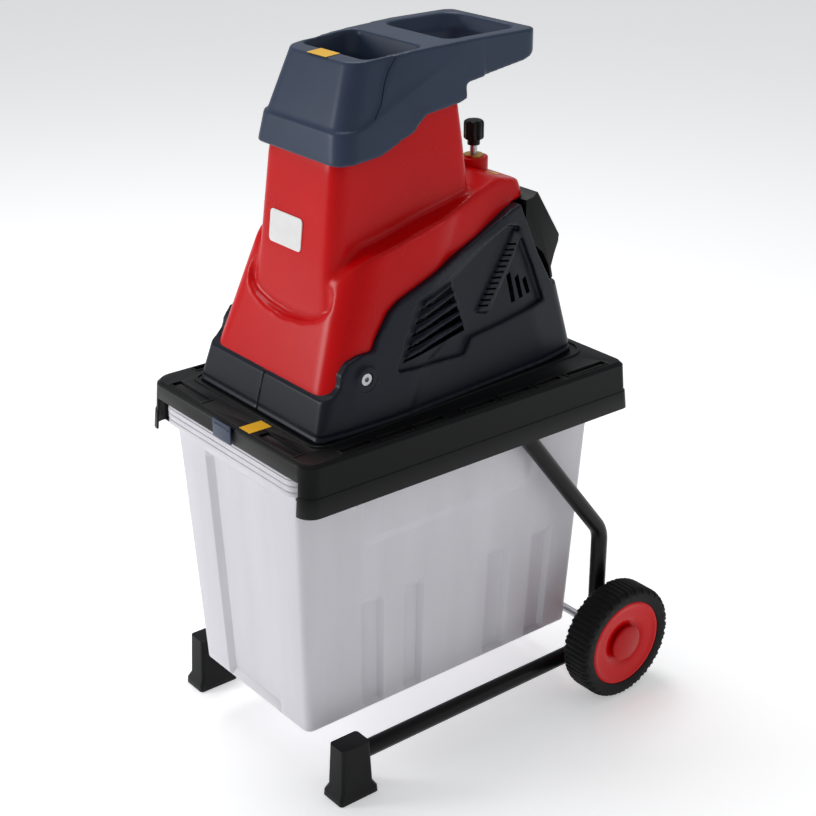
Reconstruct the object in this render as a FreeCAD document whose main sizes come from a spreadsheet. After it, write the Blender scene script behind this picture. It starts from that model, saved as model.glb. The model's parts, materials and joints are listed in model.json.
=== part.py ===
"""Electric wood chipper with a collection box: a parametric FreeCAD assembly.

Millimetres. The origin is on the ground at the middle of the footprint, +Z is up and
-Y is the front, the side the collection box slides out of. The wheel axle runs along X,
and +X is the side with the screw boss and louvres that the front view shows on the right.
Every driving size is a cell of the sheet "sizes".
"""
import FreeCAD
import Part
import Sketcher
import math
import os

V = FreeCAD.Vector
AXIS_TURN = {
    "X": FreeCAD.Rotation(V(0, 1, 0), 90),
    "Y": FreeCAD.Rotation(V(1, 0, 0), -90),
    "Z": FreeCAD.Rotation(),
}

SIZES = {
    # running gear
    "wheel_rad": 87.5,
    "tyre_wide": 49,
    "tyre_in_x": 195,
    "rim_rad": 66,
    "axle_y": 220,
    "axle_rad": 6,
    "run_gap": 0.06,
    "tube_rad": 12,
    "tube_wall": 1.5,
    "tube_x": 173.5,
    "tube_top_z": 452,
    "tube_low_z": 57,
    "tube_bend": 45,
    "tube_front_y": -262,
    "tube_knee_y": 62,
    "tube_knee_z": 248,
    "foot_y": -239,
    "foot_long": 64,
    "foot_wide": 43,
    "foot_tall": 82,
    # platform
    "deck_z": 512,
    "deck_thick": 4,
    "deck_half": 184,
    "deck_front": -302,
    "deck_rear": 247,
    "deck_flare": 5.5,
    "skirt_z": 442,
    "skirt_wall": 2.5,
    "door_half": 166,
    "door_z": 487,
    "chute_half": 46,
    "chute_front": -66,
    "chute_rear": 50,
    # collection box
    "box_top_z": 484,
    "box_low_z": 84,
    "box_half": 146,
    "box_base_half": 128,
    "box_front": -290,
    "box_rear": 220,
    "box_taper": 16,
    "box_wall": 2.5,
    "rim_out": 12,
    "rim_deep": 26,
    "rail_gap": 0.3,
    "screw_near_y": -226,
    "screw_far_y": -49,
    "screw_hole": 4.2,
    "foot_x": 175.5,
    "axle_end_x": 238,
    "latch_half": 21,
    "latch_out": 4.5,
    "rail_x": 159,
    "channel_deep": 9,
    "channel_top_z": 262,
    "panel_half": 70,
    # housing
    "base_half": 140,
    "waist_half": 144,
    "tail_half": 104,
    "base_front": -253,
    "base_rear": 225,
    "shell_top_z": 745,
    "shell_lean": 16,
    "shell_front_lean": 72,
    "shell_rear_lean": 60,
    "shell_wall": 3,
    "recess_deep": 6,
    "boss_x": 141,
    "side_boss_y": -175,
    "side_boss_z": 582,
    "nut_rad": 9,
    "red_low_z": 564,
    "red_wall": 3,
    "tower_half": 84,
    "tower_front": -188,
    "tower_rear": 56,
    "tower_top_z": 900,
    "tower_knee_z": 712,
    "cap_low_z": 844,
    "cap_top_z": 974,
    "cap_half": 99,
    "cap_step_z": 885,
    "cap_step_y": -172,
    "cap_wall": 3.5,
    "slot_half": 68,
    "slot_front": -112,
    "slot_rear": -32,
    "loop_half": 58,
    "loop_front": 24,
    "loop_rear": 128,
    "handle_rear": 153,
    # cutting unit
    "drum_y": -20,
    "drum_z": 606,
    "drum_rad": 42,
    "drum_half": 42,
    "drum_shaft_rad": 12.5,
    "knob_y": 118,
    "knob_rad": 14,
    "knob_z": 806,
    "knob_tall": 34,
    "screw_rad": 5,
    "boss_z": 790,
    "plate_travel": 6,
    "plate_mid_z": 742,
    "plate_gap": 1.5,
    "chamber_half": 58,
    "chamber_front": -78,
    "chamber_rear": 56,
    "bearing_rad": 21,
    "gear_x": -60,
    # drive
    "motor_y": 122,
    "motor_z": 606,
    "motor_rad": 62,
    "motor_half": 55,
    "rotor_rad": 34,
    "air_gap": 0.5,
    "shaft_rad": 8,
    "pinion_bore": 4.5,
    "pin_rad": 5,
    "teeth_small": 10,
    "teeth_first": 50,
    "module_first": 1.5,
    "teeth_mid": 12,
    "teeth_second": 48,
    "module_second": 2,
    "teeth_last": 11,
    "teeth_drum": 44,
    "module_last": 3,
}

doc = FreeCAD.newDocument("wood_chipper")
sheet = doc.addObject("Spreadsheet::Sheet", "sizes")
for row, (alias, value) in enumerate(SIZES.items(), 1):
    sheet.set("A%d" % row, alias)
    sheet.set("B%d" % row, str(value))
    sheet.setAlias("B%d" % row, alias)
doc.recompute()


def dim(alias):
    """The value that the sheet holds for one driving size."""
    return float(sheet.get(alias))


def named(text):
    """Turn plain alias words in an expression into references to the sheet."""
    words = []
    word = ""
    for letter in text + " ":
        if letter.isalnum() or letter in "_.":
            word += letter
            continue
        if word in SIZES:
            word = "sizes." + word
        words.append(word + letter)
        word = ""
    return "".join(words).strip()


def bind(thing, **sizes):
    """Bind properties of an object to expressions; two underscores stand for a dot."""
    for name, text in sizes.items():
        thing.setExpression(name.replace("__", "."), named(str(text)))
    return thing


def place(thing, x="0", y="0", z="0"):
    return bind(thing, Placement__Base__x=x, Placement__Base__y=y, Placement__Base__z=z)


def block(x0, x1, y0, y1, z0, z1):
    """A box between two corners, each side given as an expression."""
    thing = doc.addObject("Part::Box", "block")
    bind(
        thing,
        Length="(%s) - (%s)" % (x1, x0),
        Width="(%s) - (%s)" % (y1, y0),
        Height="(%s) - (%s)" % (z1, z0),
    )
    return place(thing, x0, y0, z0)


def rod(radius, x0, x1, y, z, along="X"):
    """A round bar; its ends lie on the axis it runs along."""
    thing = doc.addObject("Part::Cylinder", "rod")
    thing.Placement.Rotation = AXIS_TURN[along]
    bind(thing, Radius=radius, Height="(%s) - (%s)" % (x1, x0))
    if along == "X":
        return place(thing, x0, y, z)
    if along == "Y":
        return place(thing, y, x0, z)
    return place(thing, y, z, x0)


def fuse(things, label=None):
    joined = doc.addObject("Part::MultiFuse", label or "joined")
    joined.Shapes = things
    joined.Refine = True
    return joined


def cut(base, tools, label=None):
    result = doc.addObject("Part::Cut", label or "cut")
    result.Base = base
    result.Tool = tools[0] if len(tools) == 1 else fuse(tools)
    result.Refine = True
    return result


def mirror(source, label=None):
    """The left-hand twin of a right-hand piece."""
    result = doc.addObject("Part::Mirroring", label or "mirrored")
    result.Source = source
    result.Normal = V(1, 0, 0)
    return result


def solid(shape, label=None):
    """A shape made by Part's own functions, held as an object of the document."""
    thing = doc.addObject("Part::Feature", label or "shape")
    thing.Shape = shape
    return thing


def origin_plane(body, role):
    return next(item for item in body.Origin.OriginFeatures if item.Role == role)


def outline_sketch(body, role, corners):
    """A closed sketch of straight lines whose corners are bound to the sheet."""
    sketch = body.newObject("Sketcher::SketchObject", "outline")
    sketch.AttachmentSupport = [(origin_plane(body, role), "")]
    sketch.MapMode = "FlatFace"
    values = [(value_of(across), value_of(up)) for across, up in corners]
    count = len(corners)
    for index in range(count):
        start = V(*values[index], 0)
        end = V(*values[(index + 1) % count], 0)
        sketch.addGeometry(Part.LineSegment(start, end))
    for index in range(count):
        after = (index + 1) % count
        sketch.addConstraint(Sketcher.Constraint("Coincident", index, 2, after, 1))
    for index, (across, up) in enumerate(corners):
        for kind, text, value in (
            ("DistanceX", across, values[index][0]),
            ("DistanceY", up, values[index][1]),
        ):
            number = sketch.addConstraint(Sketcher.Constraint(kind, -1, 1, index, 1, value))
            sketch.setExpression("Constraints[%d]" % number, named(text))
    return sketch


def value_of(text):
    """The number that an expression of the sheet's aliases comes to."""
    answer = sheet.evalExpression(named(str(text)))
    return float(getattr(answer, "Value", answer))


def turned_body(label, corners, axis_role="X_Axis"):
    """A PartDesign body revolved about the X axis from (x, radius) corners."""
    body = doc.addObject("PartDesign::Body", label)
    sketch = outline_sketch(body, "XY_Plane", corners)
    turn = body.newObject("PartDesign::Revolution", "turned")
    turn.Profile = sketch
    turn.ReferenceAxis = (origin_plane(body, axis_role), [""])
    turn.Angle = 360
    body.Tip = turn
    return body


def ring_of(points):
    return Part.makePolygon(points + [points[0]])


def prism(corners, x0, x1):
    """A solid from a side outline of (y, z) corners, run along X."""
    face = Part.Face(ring_of([V(x0, y, z) for y, z in corners]))
    return face.extrude(V(x1 - x0, 0, 0))


def slab(corners, z0, z1):
    """A solid from a plan outline of (x, y) corners, run upwards."""
    face = Part.Face(ring_of([V(x, y, z0) for x, y in corners]))
    return face.extrude(V(0, 0, z1 - z0))


def soft_ring(right_side, z):
    """A plan outline from (x, y, corner radius) of its right side, mirrored to the left."""
    right = [(V(x, y, z), radius) for x, y, radius in right_side]
    left = [(V(-x, y, z), radius) for x, y, radius in reversed(right_side)]
    spots = right + left
    count = len(spots)
    edges = []
    starts = []
    for index, (spot, radius) in enumerate(spots):
        before = (spots[index - 1][0] - spot).normalize()
        after = (spots[(index + 1) % count][0] - spot).normalize()
        half_turn = before.getAngle(after) / 2
        reach = radius / math.tan(half_turn)
        first = spot + before * reach
        last = spot + after * reach
        bisector = (before + after).normalize()
        middle = spot + bisector * (radius / math.sin(half_turn) - radius)
        starts.append((first, middle, last))
    for index, (first, middle, last) in enumerate(starts):
        edges.append(Part.Arc(first, middle, last).toShape())
        edges.append(Part.LineSegment(last, starts[(index + 1) % count][0]).toShape())
    return Part.Wire(edges)


def plan_ring(half_front, half_rear, front, rear, z, corner_front, corner_rear):
    """A four-sided plan outline with round corners, at one height."""
    return soft_ring([(half_front, front, corner_front), (half_rear, rear, corner_rear)], z)


def loft(rings, ruled=True):
    return Part.makeLoft(rings, True, ruled)


# ---------------------------------------------------------------- running gear

def bent_tube(x, radius):
    """Sweep a round section along the side frame: low run, upright, slope, top run."""
    bend = dim("tube_bend")
    spots = [
        V(x, dim("tube_front_y"), dim("tube_low_z")),
        V(x, dim("axle_y") + 2, dim("tube_low_z")),
        V(x, dim("axle_y") + 2, dim("tube_knee_z")),
        V(x, dim("tube_knee_y"), dim("tube_top_z")),
        V(x, dim("tube_front_y") + 12, dim("tube_top_z")),
    ]
    edges = []
    last = spots[0]
    for index in range(1, len(spots) - 1):
        before = (spots[index - 1] - spots[index]).normalize()
        after = (spots[index + 1] - spots[index]).normalize()
        half_turn = before.getAngle(after) / 2
        reach = bend / math.tan(half_turn)
        first = spots[index] + before * reach
        end = spots[index] + after * reach
        inward = (before + after).normalize()
        middle = spots[index] + inward * (bend / math.sin(half_turn) - bend)
        edges.append(Part.LineSegment(last, first).toShape())
        edges.append(Part.Arc(first, middle, end).toShape())
        last = end
    edges.append(Part.LineSegment(last, spots[-1]).toShape())
    section = Part.Wire(Part.makeCircle(radius, spots[0], V(0, 1, 0)))
    return Part.Wire(edges).makePipeShell([section], True, False)


def side_tube():
    outer = solid(bent_tube(dim("tube_x"), dim("tube_rad")))
    inner = solid(bent_tube(dim("tube_x"), dim("tube_rad") - dim("tube_wall")))
    axle_hole = rod("axle_rad + 0.05", "tube_x - 20", "tube_x + 20", "axle_y", "wheel_rad")
    bolt_holes = [
        rod("screw_hole", "tube_top_z - 20", "tube_top_z + 20", "tube_x", at, "Z")
        for at in ("screw_near_y", "screw_far_y")
    ]
    return cut(outer, [inner, axle_hole] + bolt_holes, "frame_tube_right")


def foot():
    """A moulded foot: a flared sole under a tapering block with a socket for the tube."""
    middle = dim("foot_x")
    rings = []
    for z, half_wide, half_long in (
        (0, dim("foot_wide") / 2, dim("foot_long") / 2),
        (9, dim("foot_wide") / 2 - 0.5, dim("foot_long") / 2 - 0.5),
        (18, dim("foot_wide") / 2 - 4, dim("foot_long") / 2 - 6),
        (dim("foot_tall"), dim("foot_wide") / 2 - 5.5, dim("foot_long") / 2 - 9),
    ):
        y = dim("foot_y")
        ring = plan_ring(half_wide, half_wide, y - half_long, y + half_long, z, 5, 5)
        ring.translate(V(middle, 0, 0))
        rings.append(ring)
    body = solid(loft(rings))
    socket = rod("tube_rad + 0.05", "tube_front_y", "foot_y + foot_long", "tube_x", "tube_low_z", "Y")
    return cut(body, [socket], "foot_right")


def axle():
    bar = rod("axle_rad", "-axle_end_x", "axle_end_x", "axle_y", "wheel_rad")
    bar.Label = "axle"
    return bar


def tyre():
    """A solid tyre with bevelled shoulders and a ring of notches in each shoulder."""
    outer_x = "tyre_in_x + tyre_wide"
    corners = [
        ("tyre_in_x + 3", "rim_rad"),
        (outer_x + " - 3", "rim_rad"),
        (outer_x, "rim_rad + 4"),
        (outer_x, "wheel_rad - 7"),
        (outer_x + " - 5", "wheel_rad"),
        ("tyre_in_x + 5", "wheel_rad"),
        ("tyre_in_x", "wheel_rad - 7"),
        ("tyre_in_x", "rim_rad + 4"),
    ]
    body = turned_body("tyre_right", corners)
    place(body, "0", "axle_y", "wheel_rad")
    return body


def wheel_rim():
    """A moulded rim: a hub tube, a dished web and a bead ring that holds the tyre."""
    corners = [
        ("tyre_in_x + 2", "axle_rad + run_gap"),
        ("tyre_in_x + 39", "axle_rad + run_gap"),
        ("tyre_in_x + 39", "20"),
        ("tyre_in_x + 44", "31"),
        ("tyre_in_x + 44", "36"),
        ("tyre_in_x + 40", "40"),
        ("tyre_in_x + 40", "54"),
        ("tyre_in_x + 46", "58"),
        ("tyre_in_x + 46", "rim_rad"),
        ("tyre_in_x + 3", "rim_rad"),
        ("tyre_in_x + 3", "rim_rad - 4"),
        ("tyre_in_x + 36", "rim_rad - 8"),
        ("tyre_in_x + 36", "36"),
        ("tyre_in_x + 34", "14"),
        ("tyre_in_x + 2", "14"),
    ]
    body = turned_body("wheel_rim_right", corners)
    place(body, "0", "axle_y", "wheel_rad")
    return body


def hub_cap():
    """A snap-in cap over the axle end: a shallow cup that stands in the rim's dish."""
    corners = [
        ("tyre_in_x + 39.3", "15"),
        ("tyre_in_x + 44.5", "15"),
        ("tyre_in_x + 44.5", "0"),
        ("tyre_in_x + tyre_wide", "0"),
        ("tyre_in_x + tyre_wide", "22"),
        ("tyre_in_x + tyre_wide - 2", "27"),
        ("tyre_in_x + 42.8", "27"),
        ("tyre_in_x + 39.3", "19.5"),
    ]
    body = turned_body("hub_cap_right", corners)
    place(body, "0", "axle_y", "wheel_rad")
    return body


def push_nuts():
    """Spring nuts pushed on to the axle ends, and a washer inside each wheel."""
    rings = []
    for near, far in (("tyre_in_x + 39.3", "tyre_in_x + 41"), ("tyre_in_x - 2.5", "tyre_in_x - 0.5")):
        disc = rod("axle_rad + 5", near, far, "axle_y", "wheel_rad")
        bore = rod("axle_rad", near, far, "axle_y", "wheel_rad")
        rings.append(cut(disc, [bore]))
    right = fuse(rings)
    return fuse([right, mirror(right)], "axle_retainers")


def frame_screws():
    """Bolts through the tubes into the deck, head downwards."""
    bolts = []
    for at in ("screw_near_y", "screw_far_y"):
        head = rod("7", "tube_top_z - tube_rad - 7", "tube_top_z - tube_rad", "tube_x", at, "Z")
        shank = rod(
            "screw_hole - 0.2", "tube_top_z - tube_rad - 1", "deck_z - deck_thick", "tube_x", at, "Z"
        )
        bolts.append(fuse([head, shank]))
    right = fuse(bolts)
    return fuse([right, mirror(right)], "frame_screws")


def spacers():
    """Moulded pillars that stand the deck off the tubes, one round each bolt."""
    pillars = []
    for at in ("screw_near_y", "screw_far_y"):
        post = rod("8", "tube_top_z + 4", "deck_z - deck_thick", "tube_x", at, "Z")
        bore = rod("screw_hole", "tube_top_z", "deck_z", "tube_x", at, "Z")
        tube = rod("tube_rad + 0.02", "deck_front", "deck_rear", "tube_x", "tube_top_z", "Y")
        pillars.append(cut(post, [bore, tube]))
    right = fuse(pillars)
    return fuse([right, mirror(right)], "deck_spacers")


# -------------------------------------------------------------------- platform

def deck_ring(z, inset, corner):
    """The platform's plan outline at a height; it flares a little towards the bottom."""
    drop = (dim("deck_z") - z) / (dim("deck_z") - dim("skirt_z"))
    out = dim("deck_flare") * drop - inset
    half = dim("deck_half") + out
    front = dim("deck_front") - out
    rear = dim("deck_rear") + out
    return plan_ring(half, half, front, rear, z, corner, corner / 2)


def platform():
    """A moulded tray turned upside down, with the doorway for the box in its front."""
    wall = dim("skirt_wall")
    top = dim("deck_z")
    low = dim("skirt_z")
    outer = loft([deck_ring(low, 0, 22), deck_ring(top - 4, 0, 22), deck_ring(top, 4, 22)])
    inner = loft([deck_ring(low - 0.5, wall, 19), deck_ring(top - dim("deck_thick"), wall, 19)])
    shell = solid(outer.cut(inner))
    tools = [
        block("-door_half", "door_half", "deck_front - 20", "deck_front + 20", "skirt_z - 5", "door_z"),
        block("-chute_half", "chute_half", "chute_front", "chute_rear", "deck_z - 20", "deck_z + 5"),
        block("-latch_half / 3", "latch_half / 3", "deck_front - 20", "deck_front + 6",
              "door_z - 5", "deck_z - 8"),
    ]
    for start, end in ((-240, -194), (-180, -129), (-122, -76), (-41, 11), (24, 75), (88, 132), (145, 217)):
        for side in (-1, 1):
            middle = "%d * (deck_half - 13)" % side
            tools.append(block(middle + " - 3", middle + " + 3", start, end, "deck_z - 2", "deck_z + 5"))
    for side in (-1, 1):
        near, far = sorted((66 * side, 145 * side))
        tools.append(block(near, far, "deck_front + 7", "deck_front + 27", "deck_z - 2", "deck_z + 5"))
    for side in (-1, 1):
        for at in ("screw_near_y", "screw_far_y"):
            tools.append(rod("screw_hole", "deck_z - 20", "deck_z - 1.5", "%d * tube_x" % side, at, "Z"))
    return cut(shell, tools, "platform")


def guide_rail():
    """The runner that the box's rim hangs on, hooked in under the rim."""
    web = block("rail_x", "rail_x + 2.2", "deck_front + 6", "deck_rear - 12",
                "box_top_z - rim_deep - rail_gap - 3", "deck_z - deck_thick")
    lip = block("rail_x - 9", "rail_x + 2.2", "deck_front + 6", "deck_rear - 12",
                "box_top_z - rim_deep - rail_gap - 3", "box_top_z - rim_deep - rail_gap")
    flange = block("rail_x - 10", "rail_x + 2.2", "deck_front + 8", "deck_rear - 12",
                   "deck_z - deck_thick - 3", "deck_z - deck_thick")
    stop = block("rail_x - 9", "rail_x + 2.2", "deck_rear - 12", "deck_rear - skirt_wall - 1",
                 "box_top_z - rim_deep - rail_gap - 3", "deck_z - deck_thick")
    return fuse([web, lip, flange, stop], "guide_rail_right")


def box_latch():
    """The safety latch: a plate on the front skirt that slides down in front of the box."""
    front = "deck_front - latch_out"
    plate = block("-latch_half", "latch_half", front, front + " + 2.2", "door_z - 1", "deck_z - 1")
    grip = block("-latch_half + 4", "latch_half - 4", front + " - 1", front, "deck_z - 9", "deck_z - 6")
    guide = block("-latch_half / 3 + 0.3", "latch_half / 3 - 0.3", front + " + 2.2",
                  "deck_front + 4", "door_z + 8", "deck_z - 9")
    return fuse([plate, grip, guide], "box_latch")


def interlock_switch():
    """The switch that stops the motor while the latch is open, screwed up under the deck."""
    body = block("-11", "11", "deck_front + 8", "deck_front + 28", "door_z + 3", "deck_z - deck_thick")
    plunger = rod("2", "deck_front + 4.6", "deck_front + 9", "0", "deck_z - 12", "Y")
    return fuse([body, plunger], "interlock_switch")


# -------------------------------------------------------------- collection box

CHANNELS = ((-192, -152), (-115, -80), (41, 86), (123, 168))


def bin_corners(level, inset, grooved):
    """The box's plan outline at a height, with pillars in front and channels in the sides."""
    low = dim("box_low_z")
    high = dim("box_top_z") - dim("rim_deep")
    rise = (level - low) / (high - low)
    half = dim("box_base_half") + (dim("box_half") - dim("box_base_half")) * rise - inset
    pull = dim("box_taper") * (1 - rise) + inset
    front = dim("box_front") + pull
    rear = dim("box_rear") - pull
    deep = dim("channel_deep") if grooved else 0.2
    panel = dim("panel_half")
    side = [(panel, front), (half - 6, front), (half, front + 6)]
    for start, end in CHANNELS:
        first = start - inset
        last = end + inset
        side += [(half, first), (half - deep, first + 4), (half - deep, last - 4), (half, last)]
    side += [(half, rear - 6), (half - 6, rear)]
    right = [(panel - 3, front + deep)] + side
    left = [(-x, y) for x, y in reversed(right)]
    return [V(x, y, level) for x, y in right + left]


def bin_body(inset, floor):
    """The tapering body of the box: channelled low down, plain in the band under the rim."""
    channel_top = dim("channel_top_z")
    high = dim("box_top_z") - 1
    lower = loft([
        ring_of(bin_corners(floor, inset, True)),
        ring_of(bin_corners(channel_top, inset, True)),
        ring_of(bin_corners(channel_top + 30, inset, False)),
        ring_of(bin_corners(high, inset, False)),
    ])
    return lower


def collection_box():
    """A blow-moulded bin with a stiff, ribbed rim that hangs on the runners."""
    low = dim("box_low_z")
    wall = dim("box_wall")
    body = bin_body(0, low)
    rim_z = dim("box_top_z") - dim("rim_deep")
    half = dim("box_half") + dim("rim_out")
    front = dim("box_front") - dim("rim_out") + 3
    rear = dim("box_rear") + dim("rim_out")
    for step in range(3):
        base = rim_z + step * dim("rim_deep") / 3
        for z, height, back in ((base, 6, 0), (base + 6, dim("rim_deep") / 3 - 6, 1.5)):
            ring = plan_ring(half - back, half - back, front + back, rear - back, z, 10, 10)
            body = body.fuse(Part.Face(ring).extrude(V(0, 0, height)))
    mouth = Part.Face(ring_of(bin_corners(dim("box_top_z") - 1.5, wall, False)))
    cavity = bin_body(wall, low + wall).fuse(mouth.extrude(V(0, 0, 3)))
    return solid(body.cut(cavity).removeSplitter(), "collection_box")


# --------------------------------------------------------------------- housing

def body_ring(z, inset, corner):
    """The housing's plan outline at a height: it leans in on every side as it rises."""
    rise = (z - dim("deck_z")) / (dim("shell_top_z") - dim("deck_z"))
    lean = dim("shell_lean") * rise + inset
    front = dim("base_front") + dim("shell_front_lean") * rise + inset
    rear = dim("base_rear") - dim("shell_rear_lean") * rise - inset
    waist = dim("waist_half") - lean
    tail = dim("tail_half") - lean
    flank = rear - 75
    right_side = [
        (dim("base_half") - lean, front, corner),
        (waist, front + 45, 60),
        (waist - 1, front + 140, 120),
        (tail + 16, flank, 160),
        (tail, rear, 26),
    ]
    return soft_ring(right_side, z)


def body_loft(inset, low, high, corner_low=10, corner_high=34):
    return loft([body_ring(low, inset, corner_low), body_ring(high, inset, corner_high)])


SIDE_SEAM = (
    (-238, 563), (-222, 571), (-214, 580), (-211, 594), (-200, 608), (-184, 614), (-161, 615),
    (-153, 630), (-131, 658), (-114, 669), (-59, 688), (-5, 707), (25, 717), (99, 741), (120, 744),
)
SHELL_TAIL = ((126, 728), (150, 672), (178, 620), (260, 611))
RECESS = (
    (-124, 577), (-4, 568), (11, 588), (67, 592), (158, 602), (140, 650),
    (112, 716), (90, 722), (-5, 690), (-59, 671), (-88, 660),
)


def side_region(corners, left=False):
    """A prism across one half of the housing, from its (y, z) outline."""
    reach = 200
    return prism(corners, -reach if left else 0, 0 if left else reach)


def louvre_slots():
    """The air openings of the right side, as prisms through the wall."""
    slots = []
    for row in range(5):
        left = V(0, -108 + 8 * row, 586 + 15 * row)
        right = V(0, 4 - 4 * row, 602 + 14.5 * row)
        slots.append(((left.y, left.z), (right.y, right.z), (right.y, right.z + 7), (left.y + 3, left.z + 7)))
    for step in range(12):
        z = 626 + 6.2 * step
        y = 30 + 4.6 * step
        slots.append(((y, z), (y + 20, z + 2), (y + 20, z + 5), (y, z + 3)))
    for step in range(3):
        y = 92 + 17 * step
        foot = 610 + 3 * step
        head = 650 - 4 * step
        slots.append(((y, foot), (y + 9, foot), (y + 4, head), (y - 5, head)))
    joined = [side_region(list(outline)) for outline in slots]
    return joined[0].multiFuse(joined[1:])


def lower_shell(left):
    """One half of the dark lower casing, split from its twin on the middle plane."""
    low = dim("deck_z")
    wall = dim("shell_wall")
    top = dim("shell_top_z") + 10
    deep = dim("recess_deep") if not left else dim("recess_deep") / 4
    outline = [(-300, low), (-300, 563), *SIDE_SEAM, *SHELL_TAIL, (260, low)]
    region = side_region(outline, left)
    recess = side_region(RECESS, left)
    grown = side_region([(y * 1.02, 640 + (z - 640) * 1.05) for y, z in RECESS], left)
    outer = body_loft(0, low, top)
    outer = outer.cut(recess.cut(body_loft(deep, low - 5, top + 5)))
    inner = body_loft(wall, low - 1, top + 1)
    inner = inner.cut(grown.cut(body_loft(deep + wall, low - 5, top + 5)))
    shell = outer.cut(inner).common(region)
    foot_ring = Part.Face(body_ring(low, -4, 14)).cut(Part.Face(body_ring(low, wall, 10)))
    flange = foot_ring.extrude(V(0, 0, 4)).common(region)
    side = -1 if left else 1
    boss_x = side * dim("boss_x")
    spot = V(boss_x, dim("side_boss_y"), dim("side_boss_z"))
    inward = V(-side, 0, 0)
    boss = Part.makeCylinder(16.5, 26, spot, inward)
    recess_bore = Part.makeCylinder(9, 7, spot, inward)
    bolt_bore = Part.makeCylinder(3.2, 40, spot, inward)
    shell = shell.multiFuse([flange, boss]).cut(recess_bore).cut(bolt_bore)
    slots = louvre_slots()
    if left:
        slots = slots.mirror(V(), V(1, 0, 0))
    shell = shell.cut(slots)
    return solid(shell.removeSplitter(), "lower_shell_left" if left else "lower_shell_right")


SHOULDER = (
    (-236, 560), (-213, 662), (-195, 690), (-166, 718), (-143, 731), (-106, 738), (-55, 751),
    (9, 764), (44, 773), (95, 781), (146, 767), (158, 752), (150, 746), (112, 742), (112, 560),
)


def tower_section(z):
    """Half width, front and rear of the feed tower at one height."""
    knee = dim("tower_knee_z")
    half = dim("tower_half")
    front = dim("tower_front")
    rear = dim("tower_rear")
    rows = (
        (knee - 58, half + 9, front - 8, rear + 4),
        (knee, half, front, rear),
        (knee + 123, half - 4, front + 15, rear - 14),
        (dim("tower_top_z"), half - 8, front + 30, rear - 22),
    )
    below, above = rows[-2:]
    for one, two in zip(rows, rows[1:]):
        if z < two[0]:
            below, above = one, two
            break
    share = (z - below[0]) / (above[0] - below[0])
    return [a + (b - a) * share for a, b in zip(below[1:], above[1:])]


def tower_loft(inset, low, high):
    """The feed tower: a four-sided shaft that narrows upwards."""
    knee = dim("tower_knee_z")
    rings = []
    for z in (low, knee - 58, knee, knee + 123, high):
        if low <= z <= high:
            half, front, rear = tower_section(z)
            half -= inset
            rings.append(plan_ring(half, half - 4, front + inset, rear - inset, z, 20, 16))
    return loft(rings)


def upper_housing():
    """The red casing: a broad shoulder that carries the feed tower and the knob's boss."""
    wall = dim("red_wall")
    low = dim("red_low_z")
    tuck = dim("shell_wall") + 0.4
    outer = loft([body_ring(low - 4, tuck, 30), body_ring(790, tuck + 12, 42)])
    outer = outer.common(prism(SHOULDER, -200, 200))
    notch = slab([(-90, -300), (90, -300), (90, -190), (-90, -190)], 646, 800)
    outer = outer.cut(notch)
    inner = loft([body_ring(low - 5, tuck + wall, 27), body_ring(791, tuck + 12 + wall, 39)])
    thin = [(y + wall if y < -100 else y - (wall if y > 105 else 0), z - wall) for y, z in SHOULDER]
    inner = inner.common(prism(thin, -200, 200))
    inner = inner.cut(slab([(-93, -300), (93, -300), (93, -187), (-93, -187)], 643, 800))
    tower = tower_loft(0, 640, dim("tower_top_z") - 7)
    shaft = tower_loft(wall, 639, dim("tower_top_z") + 1)
    boss = Part.makeCylinder(20, 40, V(0, dim("knob_y"), dim("boss_z") - 40))
    bore = Part.makeCylinder(dim("nut_rad"), 60, V(0, dim("knob_y"), dim("boss_z") - 50))
    lap = [(y + 4, z - 7) for y, z in SIDE_SEAM[3:]]
    behind_shells = prism([(-206, 540), (-206, 585)] + lap + [(132, 735), (132, 540)], -200, 200)
    body = outer.multiFuse([tower, boss]).cut(inner).cut(shaft).cut(bore).cut(behind_shells)
    solids = sorted(body.Solids, key=lambda piece: piece.Volume)
    return solid(solids[-1].removeSplitter(), "upper_housing")


CAP_SIDE = (
    (-190, 844), (-114, 851), (-84, 864), (-63, 872), (-40, 890), (14, 896), (26, 900), (27, 919),
    (126, 934), (146, 941), (153, 952), (149, 975), (-40, 970), (-150, 962), (-190, 955),
)


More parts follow.
